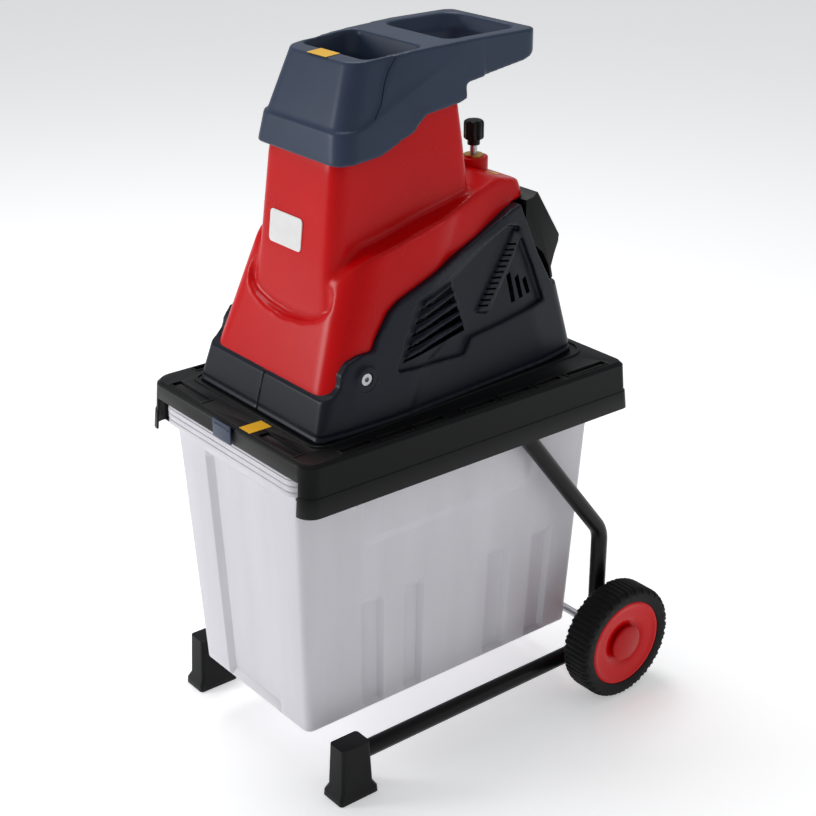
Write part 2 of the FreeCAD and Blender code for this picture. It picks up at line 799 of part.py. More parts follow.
def hopper_cap():
    """The hopper: a skirted funnel on the tower with the carrying handle behind it."""
    low = dim("cap_low_z")
    top = dim("cap_top_z")
    wall = dim("cap_wall")
    ceiling = dim("tower_top_z") - 8

    def skirt(inset, z0, z1):
        rings = []
        for z in (z0, dim("cap_step_z"), z1):
            t = (z - low) / (top - low)
            half = dim("cap_half") - 23 * t - inset
            rear_half = dim("cap_half") - 9 * t - inset
            lean = 0.17 if z <= dim("cap_step_z") else 0.38
            front = dim("cap_step_y") + lean * (z - dim("cap_step_z")) + inset
            rings.append(plan_ring(half, rear_half, front, 60, z, 24, 8))
        return loft(rings)

    outer = skirt(0, low - 5, top + 5)
    handle = Part.Face(plan_ring(91, 90, 20, dim("handle_rear"), ceiling + 8, 3, 24)).extrude(V(0, 0, 80))
    body = outer.fuse(handle).common(prism(CAP_SIDE, -150, 150))
    half = dim("loop_half")
    loop = plan_ring(half, half - 3, dim("loop_front"), dim("loop_rear"), ceiling, 16, 16)
    body = body.cut(Part.Face(loop).extrude(V(0, 0, 150)))
    tower = tower_loft(-0.3, low - 44, dim("tower_top_z") - 6.7)
    body = body.cut(tower)
    front_part = slab([(-150, -200), (150, -200), (150, 20), (-150, 20)], low - 14, ceiling)
    body = body.cut(skirt(wall, low - 6, ceiling).common(front_part))
    half = dim("slot_half")
    slot = plan_ring(half, half + 3, dim("slot_front"), dim("slot_rear"), ceiling - 12, 14, 14)
    body = body.cut(Part.Face(slot).extrude(V(0, 0, 120)))
    solids = sorted(body.Solids, key=lambda piece: piece.Volume)
    return solid(solids[-1].removeSplitter(), "hopper_cap")


CONTROL_SIDE = (
    (136, 743.8), (150, 745.7), (158, 751.5), (203, 682), (202, 672), (195, 656), (189, 638), (193, 622),
    (188.5, 619.5), (184, 640), (172, 662), (140, 690), (136, 694),
)


def control_box():
    """The switch housing behind the motor, with a sloping panel for the controls."""
    wall = dim("shell_wall")
    outer = loft([plan_ring(90, 84, 120, 230, z, 10, 22) for z in (600, 780)])
    body = outer.common(prism(CONTROL_SIDE, -150, 150))
    inner = loft([plan_ring(90 - wall, 84 - wall, 110, 230, z, 10, 20) for z in (600, 780)])
    hollow = [(y - 4, z - 4) for y, z in CONTROL_SIDE[1:6]] + [(176, 664), (141, 694), (100, 706), (100, 737)]
    inner = inner.common(prism(hollow, -150, 150))
    body = body.cut(inner)
    for x, along, radius in PANEL_HOLES:
        body = body.cut(on_panel(Part.makeCylinder(radius, 30, V(0, 0, -20)), x, along))
    return solid(body, "control_box")


# -------------------------------------------------------------- control panel

PANEL_TOP = CONTROL_SIDE[2]
PANEL_FOOT = CONTROL_SIDE[3]
PANEL_HOLES = ((60, 26, 6.2), (8, 24, 8.6), (8, 48, 8.6), (-48, 26, 6.2), (-48, 60, 12.5))


def on_panel(shape, x, along):
    """Stand a shape made about the Z axis on the sloping panel, some way down it."""
    run = V(0, PANEL_FOOT[0] - PANEL_TOP[0], PANEL_FOOT[1] - PANEL_TOP[1]).normalize()
    spot = V(x, PANEL_TOP[0], PANEL_TOP[1]) + run * along
    turn = FreeCAD.Rotation(V(1, 0, 0), math.degrees(math.atan2(run.z, run.y)))
    moved = shape.copy()
    moved.Placement = FreeCAD.Placement(spot, turn).multiply(shape.Placement)
    return moved


def reset_button():
    """The overload reset: a clear domed boot on a stem."""
    stem = Part.makeCylinder(5.5, 12, V(0, 0, -9))
    dome = Part.makeSphere(5.5, V(0, 0, 3))
    return solid(on_panel(stem.fuse(dome), 60, 26), "reset_button")


def switch_module():
    """The switch block behind the panel, with a frame that stands proud of it."""
    frame = Part.makeBox(30, 56, 2.5, V(-15, -28, 0.05))
    frame = frame.makeFillet(4, [edge for edge in frame.Edges if abs(edge.tangentAt(0).z) > 0.9])
    block_behind = Part.makeBox(26, 50, 12, V(-13, -25, -18.4))
    body = frame
    for at in (-12, 12):
        body = body.cut(Part.makeCylinder(8.6, 20, V(0, at, -10)))
    return [solid(on_panel(body, 8, 36), "switch_frame"), solid(on_panel(block_behind, 8, 36), "switch_block")]


def push_button(label, along):
    """A push button that slides square to the panel."""
    stem = Part.makeCylinder(8.3, 7.7, V(0, 0, -3.2))
    crown = Part.makeCone(8.3, 7.3, 1, V(0, 0, 4.5))
    return solid(on_panel(stem.fuse(crown), 8, along), label)


def selector_knob():
    """The cutting-direction selector: a ribbed disc with a finger bar."""
    disc = Part.makeCylinder(15, 5, V(0, 0, 0.4))
    bar = Part.makeBox(6, 26, 8, V(-3, -13, 5.3))
    stem = Part.makeCylinder(6, 8, V(0, 0, -7))
    return solid(on_panel(disc.multiFuse([bar, stem]), -48, 26), "selector_knob")


def power_inlet():
    """The shrouded inlet for a mains connector."""
    shroud = Part.makeCylinder(15, 12, V(0, 0, 0.05))
    body = Part.makeCylinder(12.4, 20, V(0, 0, -16))
    hollow = Part.makeCylinder(11, 20, V(0, 0, -8))
    return solid(on_panel(shroud.fuse(body).cut(hollow), -48, 60), "power_inlet")


def inlet_pins():
    pins = []
    for turn in (90, 210, 330):
        spot = V(5.5 * math.cos(math.radians(turn)), 5.5 * math.sin(math.radians(turn)), -8)
        pins.append(on_panel(Part.makeCylinder(1.6, 14, spot), -48, 60))
    return solid(Part.makeCompound(pins), "inlet_pins")


# --------------------------------------------------------------- cutting unit

def adjusting_knob():
    """A fluted hand knob on the end of the pressure screw."""
    radius = dim("knob_rad")
    low = dim("knob_z")
    grip = Part.makeCylinder(radius, dim("knob_tall") - 8, V(0, 0, low + 8))
    grip = grip.makeChamfer(2, [edge for edge in grip.Edges if edge.BoundBox.ZMin > low + 12])
    neck = Part.makeCylinder(radius * 0.62, 8, V(0, 0, low))
    flutes = []
    for step in range(8):
        turn = math.radians(45 * step)
        spot = V((radius + 2.4) * math.cos(turn), (radius + 2.4) * math.sin(turn), low + 7)
        flutes.append(Part.makeCylinder(4.4, 60, spot))
    body = grip.multiFuse([neck]).cut(flutes[0].multiFuse(flutes[1:]))
    body = body.cut(Part.makeCylinder(dim("screw_rad"), 16, V(0, 0, low - 1)))
    knob = solid(body, "adjusting_knob")
    return place(knob, "0", "knob_y", "0")


def adjusting_screw():
    """The pressure screw, with a ring that holds it under its collar."""
    shaft = rod("screw_rad", "motor_z + motor_rad + 10", "knob_z + 15", "0", "knob_y", "Z")
    ring = rod("screw_rad + 3", "boss_z - 38", "boss_z - 34.3", "0", "knob_y", "Z")
    return fuse([shaft, ring], "adjusting_screw")


def screw_collar():
    """The bush in the boss that the screw turns in."""
    body = rod("nut_rad", "boss_z - 34", "boss_z", "0", "knob_y", "Z")
    flange = rod("nut_rad + 4", "boss_z", "boss_z + 3", "0", "knob_y", "Z")
    bore = rod("screw_rad + run_gap", "boss_z - 40", "boss_z + 5", "0", "knob_y", "Z")
    return cut(fuse([body, flange]), [bore], "screw_collar")


def pressure_plate():
    """The anvil behind the drum; its arm is the nut that the pressure screw drives."""
    back = "chamber_rear - 6.4"
    face = block("-drum_half - 2", "drum_half + 2", "drum_y + 28", back, "drum_z + 12", "drum_z + 84")
    arm = block("-16", "16", back, "knob_y + 12", "drum_z + 84", "drum_z + 96")
    root = block("-16", "16", "drum_y + 40", back, "drum_z + 84", "drum_z + 96")
    at_rest = rod("drum_rad + plate_gap", "-drum_half - 5", "drum_half + 5", "drum_y", "drum_z")
    lowered = rod("drum_rad + plate_gap", "-drum_half - 5", "drum_half + 5", "drum_y", "drum_z + plate_travel")
    thread = rod("screw_rad + run_gap", "drum_z + 70", "drum_z + 110", "0", "knob_y", "Z")
    return cut(fuse([face, arm, root]), [at_rest, lowered, thread], "pressure_plate")


def cutter_chamber():
    """The cast chamber round the drum, open to the funnel above and the box below."""
    front = block("-chamber_half", "chamber_half", "chamber_front", "chamber_rear", "deck_z", "drum_z + 49")
    rear = block("-chamber_half", "chamber_half", "drum_y + 27", "chamber_rear", "deck_z", "drum_z + 94")
    hollow = block("-chute_half", "chute_half", "chute_front", "chute_rear", "deck_z - 5", "drum_z + 100")
    notch = block("-17", "17", "chute_rear - 2", "chamber_rear + 5", "drum_z + 77", "drum_z + 100")
    seats = rod("bearing_rad", "-chamber_half - 5", "chamber_half + 5", "drum_y", "drum_z")
    return cut(fuse([front, rear]), [hollow, notch, seats], "cutter_chamber")


def feed_funnel():
    """Sheet funnel that leads from the tower down into the chamber's mouth."""
    top = dim("drum_z") + 109
    mouth = dim("drum_z") + 51
    shapes = []
    for inset in (0, 2.5):
        reach = 1 if inset else 0
        rings = [
            plan_ring(dim("drum_half") + 2 - inset, dim("drum_half") + 2 - inset,
                      dim("chute_front") + 4 + inset, 5 - inset, mouth - 6 - reach, 6 - inset, 6 - inset),
            plan_ring(dim("drum_half") + 2 - inset, dim("drum_half") + 2 - inset,
                      dim("chute_front") + 4 + inset, 5 - inset, mouth, 6 - inset, 6 - inset),
            plan_ring(78 - inset, 74 - inset, -177.8 + inset, 6 - inset, top + reach, 6 - inset, 6 - inset),
        ]
        shapes.append(loft(rings))
    ledge = Part.makeBox(144, 44, 2.5, V(-72, 5, top - 2.5))
    return solid(shapes[0].fuse(ledge).cut(shapes[1]), "feed_funnel")


def cutting_drum():
    """The toothed drum that draws branches in and crushes them against the plate."""
    body = rod("drum_rad", "-drum_half", "drum_half", "drum_y", "drum_z")
    bore = rod("drum_shaft_rad", "-drum_half - 5", "drum_half + 5", "drum_y", "drum_z")
    notches = []
    count = 8
    for step in range(count):
        turn = 360 / count * step
        notch = doc.addObject("Part::Wedge", "notch")
        bind(notch, Xmin="-drum_half - 1", X2min="-drum_half - 1", Xmax="drum_half + 1", X2max="drum_half + 1")
        bind(notch, Ymin="0", Ymax="12", Zmin="0", Zmax="14", Z2min="0", Z2max="1")
        angle = math.radians(turn)
        notch.Placement.Rotation = FreeCAD.Rotation(V(1, 0, 0), turn)
        reach = "(drum_rad - 11)"
        place(notch, "0", "drum_y + %.6f * %s" % (math.cos(angle), reach),
              "drum_z + %.6f * %s" % (math.sin(angle), reach))
        notches.append(notch)
    return cut(body, notches + [bore], "cutting_drum")


def drum_shaft():
    bar = rod("drum_shaft_rad", "gear_x - 40", "chamber_half + 4", "drum_y", "drum_z")
    bar.Label = "drum_shaft"
    return bar


def bearing_pair(label, outer, bore, spans, y, z):
    """Bearings of one size on one axis, each a ring that the shaft runs in."""
    rings = []
    for near, far in spans:
        ring = rod(outer, near, far, y, z)
        hole = rod(bore + " + run_gap", near, far, y, z)
        rings.append(cut(ring, [hole]))
    return fuse(rings, label)


# ----------------------------------------------------------------------- drive

PRESSURE_ANGLE = math.radians(25)


def involute(angle):
    return math.tan(angle) - angle


def gear_face(teeth, module, phase):
    """The outline of a spur gear about the X axis, as (y, z) corners."""
    pitch = teeth * module / 2
    base = pitch * math.cos(PRESSURE_ANGLE)
    tip = pitch + 0.8 * module
    root = pitch - 1.05 * module
    half_tooth = math.pi / (2 * teeth) - 0.04 * module / pitch
    flank = []
    start = max(base, root)
    for step in range(5):
        radius = start + (tip - start) * step / 4
        pressure = math.acos(min(1, base / radius))
        flank.append((radius, half_tooth + involute(PRESSURE_ANGLE) - involute(pressure)))
    if root < base:
        flank.insert(0, (root, flank[0][1]))
    corners = []
    for tooth in range(teeth):
        middle = phase + 2 * math.pi * tooth / teeth
        corners += [(radius, middle - half) for radius, half in flank]
        corners += [(radius, middle + half) for radius, half in reversed(flank)]
    return [(radius * math.cos(angle), radius * math.sin(angle)) for radius, angle in corners]


def gear(teeth, module, phase, centre, x0, x1):
    corners = [(centre[0] + y, centre[1] + z) for y, z in gear_face(teeth, module, phase)]
    return prism(corners, x0, x1)


def meshed(phase, teeth, other_teeth, start, end):
    """The phase that puts a gap of the second gear round a tooth of the first."""
    heading = math.atan2(end[1] - start[1], end[0] - start[0])
    return heading + math.pi + math.pi / other_teeth + (heading - phase) * teeth / other_teeth


def train():
    """Centres and tooth phases of the three-stage reduction from motor to drum."""
    motor = (dim("motor_y"), dim("motor_z"))
    drum = (dim("drum_y"), dim("drum_z"))
    first = dim("module_first") * (dim("teeth_small") + dim("teeth_first")) / 2
    second = dim("module_second") * (dim("teeth_mid") + dim("teeth_second")) / 2
    last = dim("module_last") * (dim("teeth_last") + dim("teeth_drum")) / 2
    lift = math.radians(19)
    upper = (drum[0] + last * math.cos(lift), drum[1] + last * math.sin(lift))
    gap = math.dist(motor, upper)
    along = (first ** 2 - second ** 2 + gap ** 2) / (2 * gap)
    aside = math.sqrt(first ** 2 - along ** 2)
    unit = ((upper[0] - motor[0]) / gap, (upper[1] - motor[1]) / gap)
    lower = (motor[0] + along * unit[0] - aside * unit[1], motor[1] + along * unit[1] + aside * unit[0])
    return motor, lower, upper, drum


def drive_gears():
    """The motor pinion, two compound gears and the drum gear, all in mesh."""
    motor, lower, upper, drum = train()
    small, big = int(dim("teeth_small")), int(dim("teeth_first"))
    mid, second = int(dim("teeth_mid")), int(dim("teeth_second"))
    last, end = int(dim("teeth_last")), int(dim("teeth_drum"))
    x = dim("gear_x")
    gap = dim("run_gap")
    pin = dim("pin_rad")

    def bored(shape, centre, radius):
        return shape.cut(Part.makeCylinder(radius, 120, V(-150, *centre), V(1, 0, 0)))

    phase = 0.0
    pinion = bored(gear(small, dim("module_first"), phase, motor, x - 11, x - 1), motor, dim("pinion_bore"))
    phase = meshed(phase, small, big, motor, lower)
    wheel = gear(big, dim("module_first"), phase, lower, x - 10, x - 2)
    phase = 0.0
    pinion_two = gear(mid, dim("module_second"), phase, lower, x - 23, x - 10)
    first = bored(wheel.fuse(pinion_two), lower, pin + gap)
    phase = meshed(phase, mid, second, lower, upper)
    wheel = gear(second, dim("module_second"), phase, upper, x - 22, x - 12)
    phase = 0.0
    pinion_three = gear(last, dim("module_last"), phase, upper, x - 39, x - 22)
    second_gear = bored(wheel.fuse(pinion_three), upper, pin + gap)
    phase = meshed(phase, last, end, upper, drum)
    wheel = bored(gear(end, dim("module_last"), phase, drum, x - 38, x - 24), drum, dim("drum_shaft_rad"))
    return [
        solid(pinion, "motor_pinion"),
        solid(first, "first_gear"),
        solid(second_gear, "second_gear"),
        solid(wheel, "drum_gear"),
    ]


def gear_pins():
    x = dim("gear_x")
    pins = []
    for centre, length in zip(train()[1:3], (25, 41)):
        pins.append(Part.makeCylinder(dim("pin_rad"), length, V(x - length, *centre), V(1, 0, 0)))
    return solid(Part.makeCompound(pins), "gear_pins")


def gearbox():
    """A cast cup round the gears, bolted to the chamber's side, and its flat cover."""
    motor, lower, upper, drum = train()
    x = dim("gear_x")
    wall = 3
    deep = ((drum, 71.5), (upper, 53))
    shallow = ((lower, 43), (motor, 21))

    def lobes(circles, grow, x0, x1):
        discs = [
            Part.makeCylinder(radius + grow, x1 - x0, V(x0, *centre), V(1, 0, 0))
            for centre, radius in circles
        ]
        return discs[0].multiFuse(discs[1:])

    outer = lobes(deep, 0, x - 41, x + wall - 1).fuse(lobes(shallow, 0, x - 28, x + wall - 1))
    inner = lobes(deep, -wall, x - 60, x).fuse(lobes(shallow, -wall, x - 25, x))
    cup = outer.cut(inner)
    shaft_hole = Part.makeCylinder(dim("drum_shaft_rad") + 0.5, 20, V(x - 5, *drum), V(1, 0, 0))
    motor_hole = Part.makeCylinder(dim("shaft_rad") + 0.5, 20, V(x - 5, *motor), V(1, 0, 0))
    cup = cup.cut(shaft_hole).cut(motor_hole)
    cover = lobes(deep, 0, x - 44, x - 41)
    bore = Part.makeCylinder(dim("drum_shaft_rad") + 0.5, 20, V(x - 60, *drum), V(1, 0, 0))
    return [solid(cup.removeSplitter(), "gearbox_housing"), solid(cover.removeSplitter(), "gearbox_cover")]


# ----------------------------------------------------------------------- motor

def motor_parts():
    """The motor: a drawn can with end shields, a wound stator, a rotor, shaft and fan."""
    y, z = "motor_y", "motor_z"
    can = rod("motor_rad", "-motor_half", "motor_half", y, z)
    can_bore = rod("motor_rad - 3", "-motor_half + 4", "motor_half - 4", y, z)
    seats = rod("14", "-motor_half - 5", "motor_half + 5", y, z)
    stator = rod("motor_rad - 3", "-motor_half + 16", "motor_half - 16", y, z)
    stator_bore = rod("rotor_rad + air_gap", "-motor_half", "motor_half", y, z)
    rotor = rod("rotor_rad", "-motor_half + 14", "motor_half - 14", y, z)
    rotor_bore = rod("shaft_rad", "-motor_half", "motor_half", y, z)
    shaft = rod("shaft_rad", "gear_x + 2", "motor_half + 28", y, z)
    nose = rod("pinion_bore", "gear_x - 12", "gear_x + 2", y, z)
    return [
        cut(can, [can_bore, seats], "motor_casing"),
        cut(stator, [stator_bore], "motor_stator"),
        cut(rotor, [rotor_bore], "rotor_core"),
        fuse([shaft, nose], "rotor_shaft"),
        bearing_pair("motor_bearings", "14", "shaft_rad",
                     (("-motor_half", "-motor_half + 8"), ("motor_half - 8", "motor_half")), y, z),
    ]


def motor_cradle():
    """Two saddles on the deck that the motor lies in."""
    saddles = [block(near, near + " + 14", "motor_y - 46", "motor_y + 46", "deck_z", "motor_z - 34")
               for near in ("-motor_half + 12", "motor_half - 26")]
    return cut(fuse(saddles), [rod("motor_rad", "-motor_half - 5", "motor_half + 5", "motor_y", "motor_z")],
               "motor_cradle")


def cooling_fan():
    """A radial fan on the shaft's free end, behind the louvres."""
    y, z = dim("motor_y"), dim("motor_z")
    near = dim("motor_half") + 8
    hub = Part.makeCylinder(15, 18, V(near, y, z), V(1, 0, 0))
    plate = Part.makeCylinder(46, 2.5, V(near, y, z), V(1, 0, 0))
    body = hub.fuse(plate)
    for step in range(9):
        blade = Part.makeBox(14, 32, 2, V(near + 2, y + 13, z - 1))
        blade.rotate(V(0, y, z), V(1, 0, 0), 40 * step)
        body = body.fuse(blade)
    bore = Part.makeCylinder(dim("shaft_rad"), 60, V(near - 5, y, z), V(1, 0, 0))
    return solid(body.cut(bore).removeSplitter(), "cooling_fan")


def capacitor():
    body = rod("20", "deck_z", "deck_z + 72", "-78", "-150", "Z")
    cap = rod("18", "deck_z + 72", "deck_z + 75", "-78", "-150", "Z")
    return fuse([body, cap], "capacitor")


# -------------------------------------------------------- fasteners and labels

def housing_screws():
    """Socket screws in the side bosses that hold the two lower shells to the frame."""
    head = rod("8", "boss_x - 6.8", "boss_x - 1", "side_boss_y", "side_boss_z")
    shank = rod("3.15", "boss_x - 38", "boss_x - 6.8", "side_boss_y", "side_boss_z")
    socket = rod("3.4", "boss_x - 5", "boss_x", "side_boss_y", "side_boss_z")
    right = cut(fuse([head, shank]), [socket])
    return fuse([right, mirror(right)], "housing_screws")


def name_plate():
    """A blank white plate with round corners on the tower's front."""
    thick = 1.2
    wide = 70
    tall = 43
    middle = dim("plate_mid_z")
    lean = math.atan2(21, dim("tower_top_z") - dim("tower_knee_z"))
    plate = Part.makeBox(wide, tall, thick, V(-wide / 2, -tall / 2, 0))
    plate = plate.makeFillet(6, [edge for edge in plate.Edges if abs(edge.tangentAt(0).z) > 0.9])
    face_y = dim("tower_front") + math.tan(lean) * (middle - dim("tower_knee_z"))
    plate.Placement = FreeCAD.Placement(
        V(-15, face_y, middle), FreeCAD.Rotation(V(1, 0, 0), 90 - math.degrees(lean))
    )
    return solid(plate, "name_plate")


def warning_labels():
    """Blank yellow labels: on the deck, on the hopper and beside the knob."""
    deck_label = Part.makeBox(24, 34, 0.3, V(30, dim("deck_front") + 4, dim("deck_z")))
    slope = math.atan2(8, 110)
    hopper = Part.makeBox(40, 22, 0.4, V(-20, -11, 0.1))
    hopper.Placement = FreeCAD.Placement(
        V(0, -130, 962 + 20 * math.tan(slope) + 0.1), FreeCAD.Rotation(V(1, 0, 0), math.degrees(slope))
    )
    face_slope = math.atan2(SHOULDER[9][1] - SHOULDER[10][1], SHOULDER[10][0] - SHOULDER[9][0])
    triangle = Part.Face(ring_of([V(-11, -9), V(11, -9), V(0, 10)])).extrude(V(0, 0, 0.4))
    middle_y = (SHOULDER[9][0] + SHOULDER[10][0]) / 2
    middle_z = (SHOULDER[9][1] + SHOULDER[10][1]) / 2
    triangle.Placement = FreeCAD.Placement(
        V(42, middle_y, middle_z + 0.1), FreeCAD.Rotation(V(1, 0, 0), -math.degrees(face_slope))
    )
    return solid(Part.makeCompound([deck_label, hopper, triangle]), "warning_labels")


# -------------------------------------------------------------------- assembly

def assemble():
    """Build every sub-part once; the left-hand ones are mirrored from the right."""
    pieces = [
        axle(), push_nuts(), frame_screws(), spacers(), platform(), box_latch(), interlock_switch(),
        collection_box(), lower_shell(False), lower_shell(True), upper_housing(), hopper_cap(), control_box(),
        reset_button(), push_button("on_button", 24), push_button("off_button", 48), selector_knob(),
        power_inlet(), inlet_pins(), adjusting_knob(), adjusting_screw(), screw_collar(), pressure_plate(),
        cutter_chamber(), feed_funnel(), cutting_drum(), drum_shaft(),
        bearing_pair("drum_bearings", "bearing_rad", "drum_shaft_rad",
                     (("-chamber_half", "-chamber_half + 11"), ("chamber_half - 11", "chamber_half")),
                     "drum_y", "drum_z"),
        gear_pins(), motor_cradle(), cooling_fan(), capacitor(),
        housing_screws(), name_plate(), warning_labels(),
    ]
    pieces += switch_module() + drive_gears() + gearbox() + motor_parts()
    for right in (side_tube(), foot(), tyre(), wheel_rim(), hub_cap(), guide_rail()):
        pieces += [right, mirror(right, right.Label.replace("_right", "_left"))]
    return pieces


def export(pieces):
    doc.recompute()
    for thing in doc.Objects:
        if "Invalid" in thing.State or "Error" in thing.State:
            raise RuntimeError("%s did not build" % thing.Label)
    for piece in pieces:
        if piece.Shape.isNull() or not piece.Shape.isValid():
            raise RuntimeError("%s has no valid shape" % piece.Label)
    os.makedirs("parts", exist_ok=True)
    for piece in pieces:
        piece.Shape.exportStep("parts/%s.step" % piece.Label)


export(assemble())
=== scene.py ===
"""The looks of the wood chipper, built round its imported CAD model. Metres, +Z up, -Y the front."""
import json
import math

import bmesh
import bpy
from mathutils import Matrix, Vector


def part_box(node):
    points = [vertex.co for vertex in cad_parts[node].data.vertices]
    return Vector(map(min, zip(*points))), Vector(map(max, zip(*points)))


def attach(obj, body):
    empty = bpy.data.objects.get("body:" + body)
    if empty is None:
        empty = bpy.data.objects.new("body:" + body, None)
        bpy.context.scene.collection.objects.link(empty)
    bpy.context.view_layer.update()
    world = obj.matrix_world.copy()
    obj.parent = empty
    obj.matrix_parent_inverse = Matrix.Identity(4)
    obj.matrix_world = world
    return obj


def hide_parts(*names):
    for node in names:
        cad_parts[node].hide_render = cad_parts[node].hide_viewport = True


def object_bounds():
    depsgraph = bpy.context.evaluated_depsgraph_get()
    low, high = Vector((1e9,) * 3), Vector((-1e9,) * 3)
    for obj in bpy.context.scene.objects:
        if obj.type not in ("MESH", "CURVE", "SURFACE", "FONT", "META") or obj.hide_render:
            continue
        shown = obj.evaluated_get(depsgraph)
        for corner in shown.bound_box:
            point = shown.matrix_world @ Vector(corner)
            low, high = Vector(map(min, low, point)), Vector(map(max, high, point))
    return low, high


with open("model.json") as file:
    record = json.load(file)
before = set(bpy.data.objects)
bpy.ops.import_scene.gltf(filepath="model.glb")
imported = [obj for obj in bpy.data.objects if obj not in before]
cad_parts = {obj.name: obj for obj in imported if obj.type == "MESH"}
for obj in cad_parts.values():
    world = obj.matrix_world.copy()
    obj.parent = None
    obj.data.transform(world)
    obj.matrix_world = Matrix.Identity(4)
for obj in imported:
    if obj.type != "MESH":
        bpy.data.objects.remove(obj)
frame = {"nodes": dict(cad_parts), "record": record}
cad_low, cad_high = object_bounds()
nodes = frame["nodes"]
MM = 0.001


# ------------------------------------------------------------------- materials

PLASTIC_IOR = 1.49
SOFT_SHINE = 0.2


def linear(hex_colour):
    """Turn an sRGB hex colour into the linear values that a shader takes."""
    channels = [int(hex_colour[start:start + 2], 16) / 255 for start in (1, 3, 5)]
    values = [c / 12.92 if c <= 0.04045 else ((c + 0.055) / 1.055) ** 2.4 for c in channels]
    return (*values, 1.0)


def add_node(tree, kind, settings=None, links=None):
    """Add one shader node, set its sockets and properties, and link its inputs.

    A colour ramp's stops are given as two (position, colour) pairs.
    """
    node = tree.nodes.new(kind)
    for name, value in (settings or {}).items():
        if name == "stops":
            for element, (position, colour) in zip(node.color_ramp.elements, value):
                element.position = position
                element.color = colour
        elif name in node.inputs:
            node.inputs[name].default_value = value
        else:
            setattr(node, name, value)
    for name, source in (links or {}).items():
        tree.links.new(source, node.inputs[name])
    return node


def blank_material(name, **shader_settings):
    """A material with one principled shader; gives it with its tree and that shader."""
    material = bpy.data.materials.new(name)
    material.use_nodes = True
    tree = material.node_tree
    shader = next(node for node in tree.nodes if node.type == "BSDF_PRINCIPLED")
    for socket, value in shader_settings.items():
        shader.inputs[socket.replace("_", " ")].default_value = value
    return material, tree, shader


def moulded(name, colour, tint, roughness, grain_mm=0.6, depth_mm=0.03):
    """Injection-moulded plastic: an even colour, a spark-eroded grain, and a slight
    drift in tone and gloss where the melt flowed."""
    material, tree, shader = blank_material(name, IOR=PLASTIC_IOR, Specular_IOR_Level=SOFT_SHINE)
    place = add_node(tree, "ShaderNodeTexCoord").outputs["Object"]
    flow = add_node(
        tree, "ShaderNodeTexNoise", {"Scale": 9.0, "Detail": 3.0}, {"Vector": place}
    ).outputs["Fac"]
    tone = add_node(
        tree, "ShaderNodeValToRGB",
        {"stops": ((0.2, linear(tint)), (0.8, linear(colour)))}, {"Fac": flow},
    )
    tree.links.new(tone.outputs["Color"], shader.inputs["Base Color"])
    gloss = add_node(
        tree, "ShaderNodeMapRange",
        {"From Min": 0.1, "From Max": 0.9, "To Min": roughness - 0.04, "To Max": roughness + 0.05},
        {"Value": flow},
    )
    tree.links.new(gloss.outputs["Result"], shader.inputs["Roughness"])
    grain = add_node(
        tree, "ShaderNodeTexNoise", {"Scale": 1 / (grain_mm * MM), "Detail": 2.0},
        {"Vector": place},
    )
    bump = add_node(
        tree, "ShaderNodeBump", {"Strength": 0.5, "Distance": depth_mm * MM},
        {"Height": grain.outputs["Fac"]},
    )
    tree.links.new(bump.outputs["Normal"], shader.inputs["Normal"])
    return material


def translucent_polypropylene():
    """Blow-moulded natural polypropylene: milky, waxy, light glows through its thin
    wall, with a faint streaky thickness from the melt and a 5 mm ripple in its skin."""
    material, tree, shader = blank_material(
        "translucent_polypropylene", IOR=PLASTIC_IOR, Roughness=0.36, Subsurface_Weight=0.12,
        Subsurface_Scale=6 * MM, Subsurface_Radius=(1.0, 0.95, 0.9),
    )
    place = add_node(tree, "ShaderNodeTexCoord").outputs["Object"]
    streaks = add_node(
        tree, "ShaderNodeMapping", {"Scale": (10.0, 10.0, 2.0)}, {"Vector": place}
    )
    cloud = add_node(
        tree, "ShaderNodeTexNoise", {"Scale": 1.6, "Detail": 4.0},
        {"Vector": streaks.outputs["Vector"]},
    )
    tone = add_node(
        tree, "ShaderNodeValToRGB",
        {"stops": ((0.3, linear("#d2d0d6")), (0.7, linear("#dcdae0")))},
        {"Fac": cloud.outputs["Fac"]},
    )
    tree.links.new(tone.outputs["Color"], shader.inputs["Base Color"])
    skin = add_node(
        tree, "ShaderNodeTexNoise", {"Scale": 1 / (5 * MM), "Detail": 2.0}, {"Vector": place}
    )
    bump = add_node(
        tree, "ShaderNodeBump", {"Strength": 0.25, "Distance": 0.1 * MM},
        {"Height": skin.outputs["Fac"]},
    )
    tree.links.new(bump.outputs["Normal"], shader.inputs["Normal"])
    return material


def metal(name, colour, roughness, grain_mm=0.8):
    """Bare or plated metal: bright, with a fine worked surface that breaks the shine."""
    material, tree, shader = blank_material(name, Metallic=1.0, Base_Color=linear(colour))
    place = add_node(tree, "ShaderNodeTexCoord").outputs["Object"]
    grain = add_node(
        tree, "ShaderNodeTexNoise", {"Scale": 1 / (grain_mm * MM), "Detail": 3.0},
        {"Vector": place},
    ).outputs["Fac"]
    gloss = add_node(
        tree, "ShaderNodeMapRange",
        {"To Min": roughness - 0.08, "To Max": roughness + 0.1}, {"Value": grain},
    )
    tree.links.new(gloss.outputs["Result"], shader.inputs["Roughness"])
    bump = add_node(
        tree, "ShaderNodeBump", {"Strength": 0.3, "Distance": 0.02 * MM}, {"Height": grain}
    )
    tree.links.new(bump.outputs["Normal"], shader.inputs["Normal"])
    return material


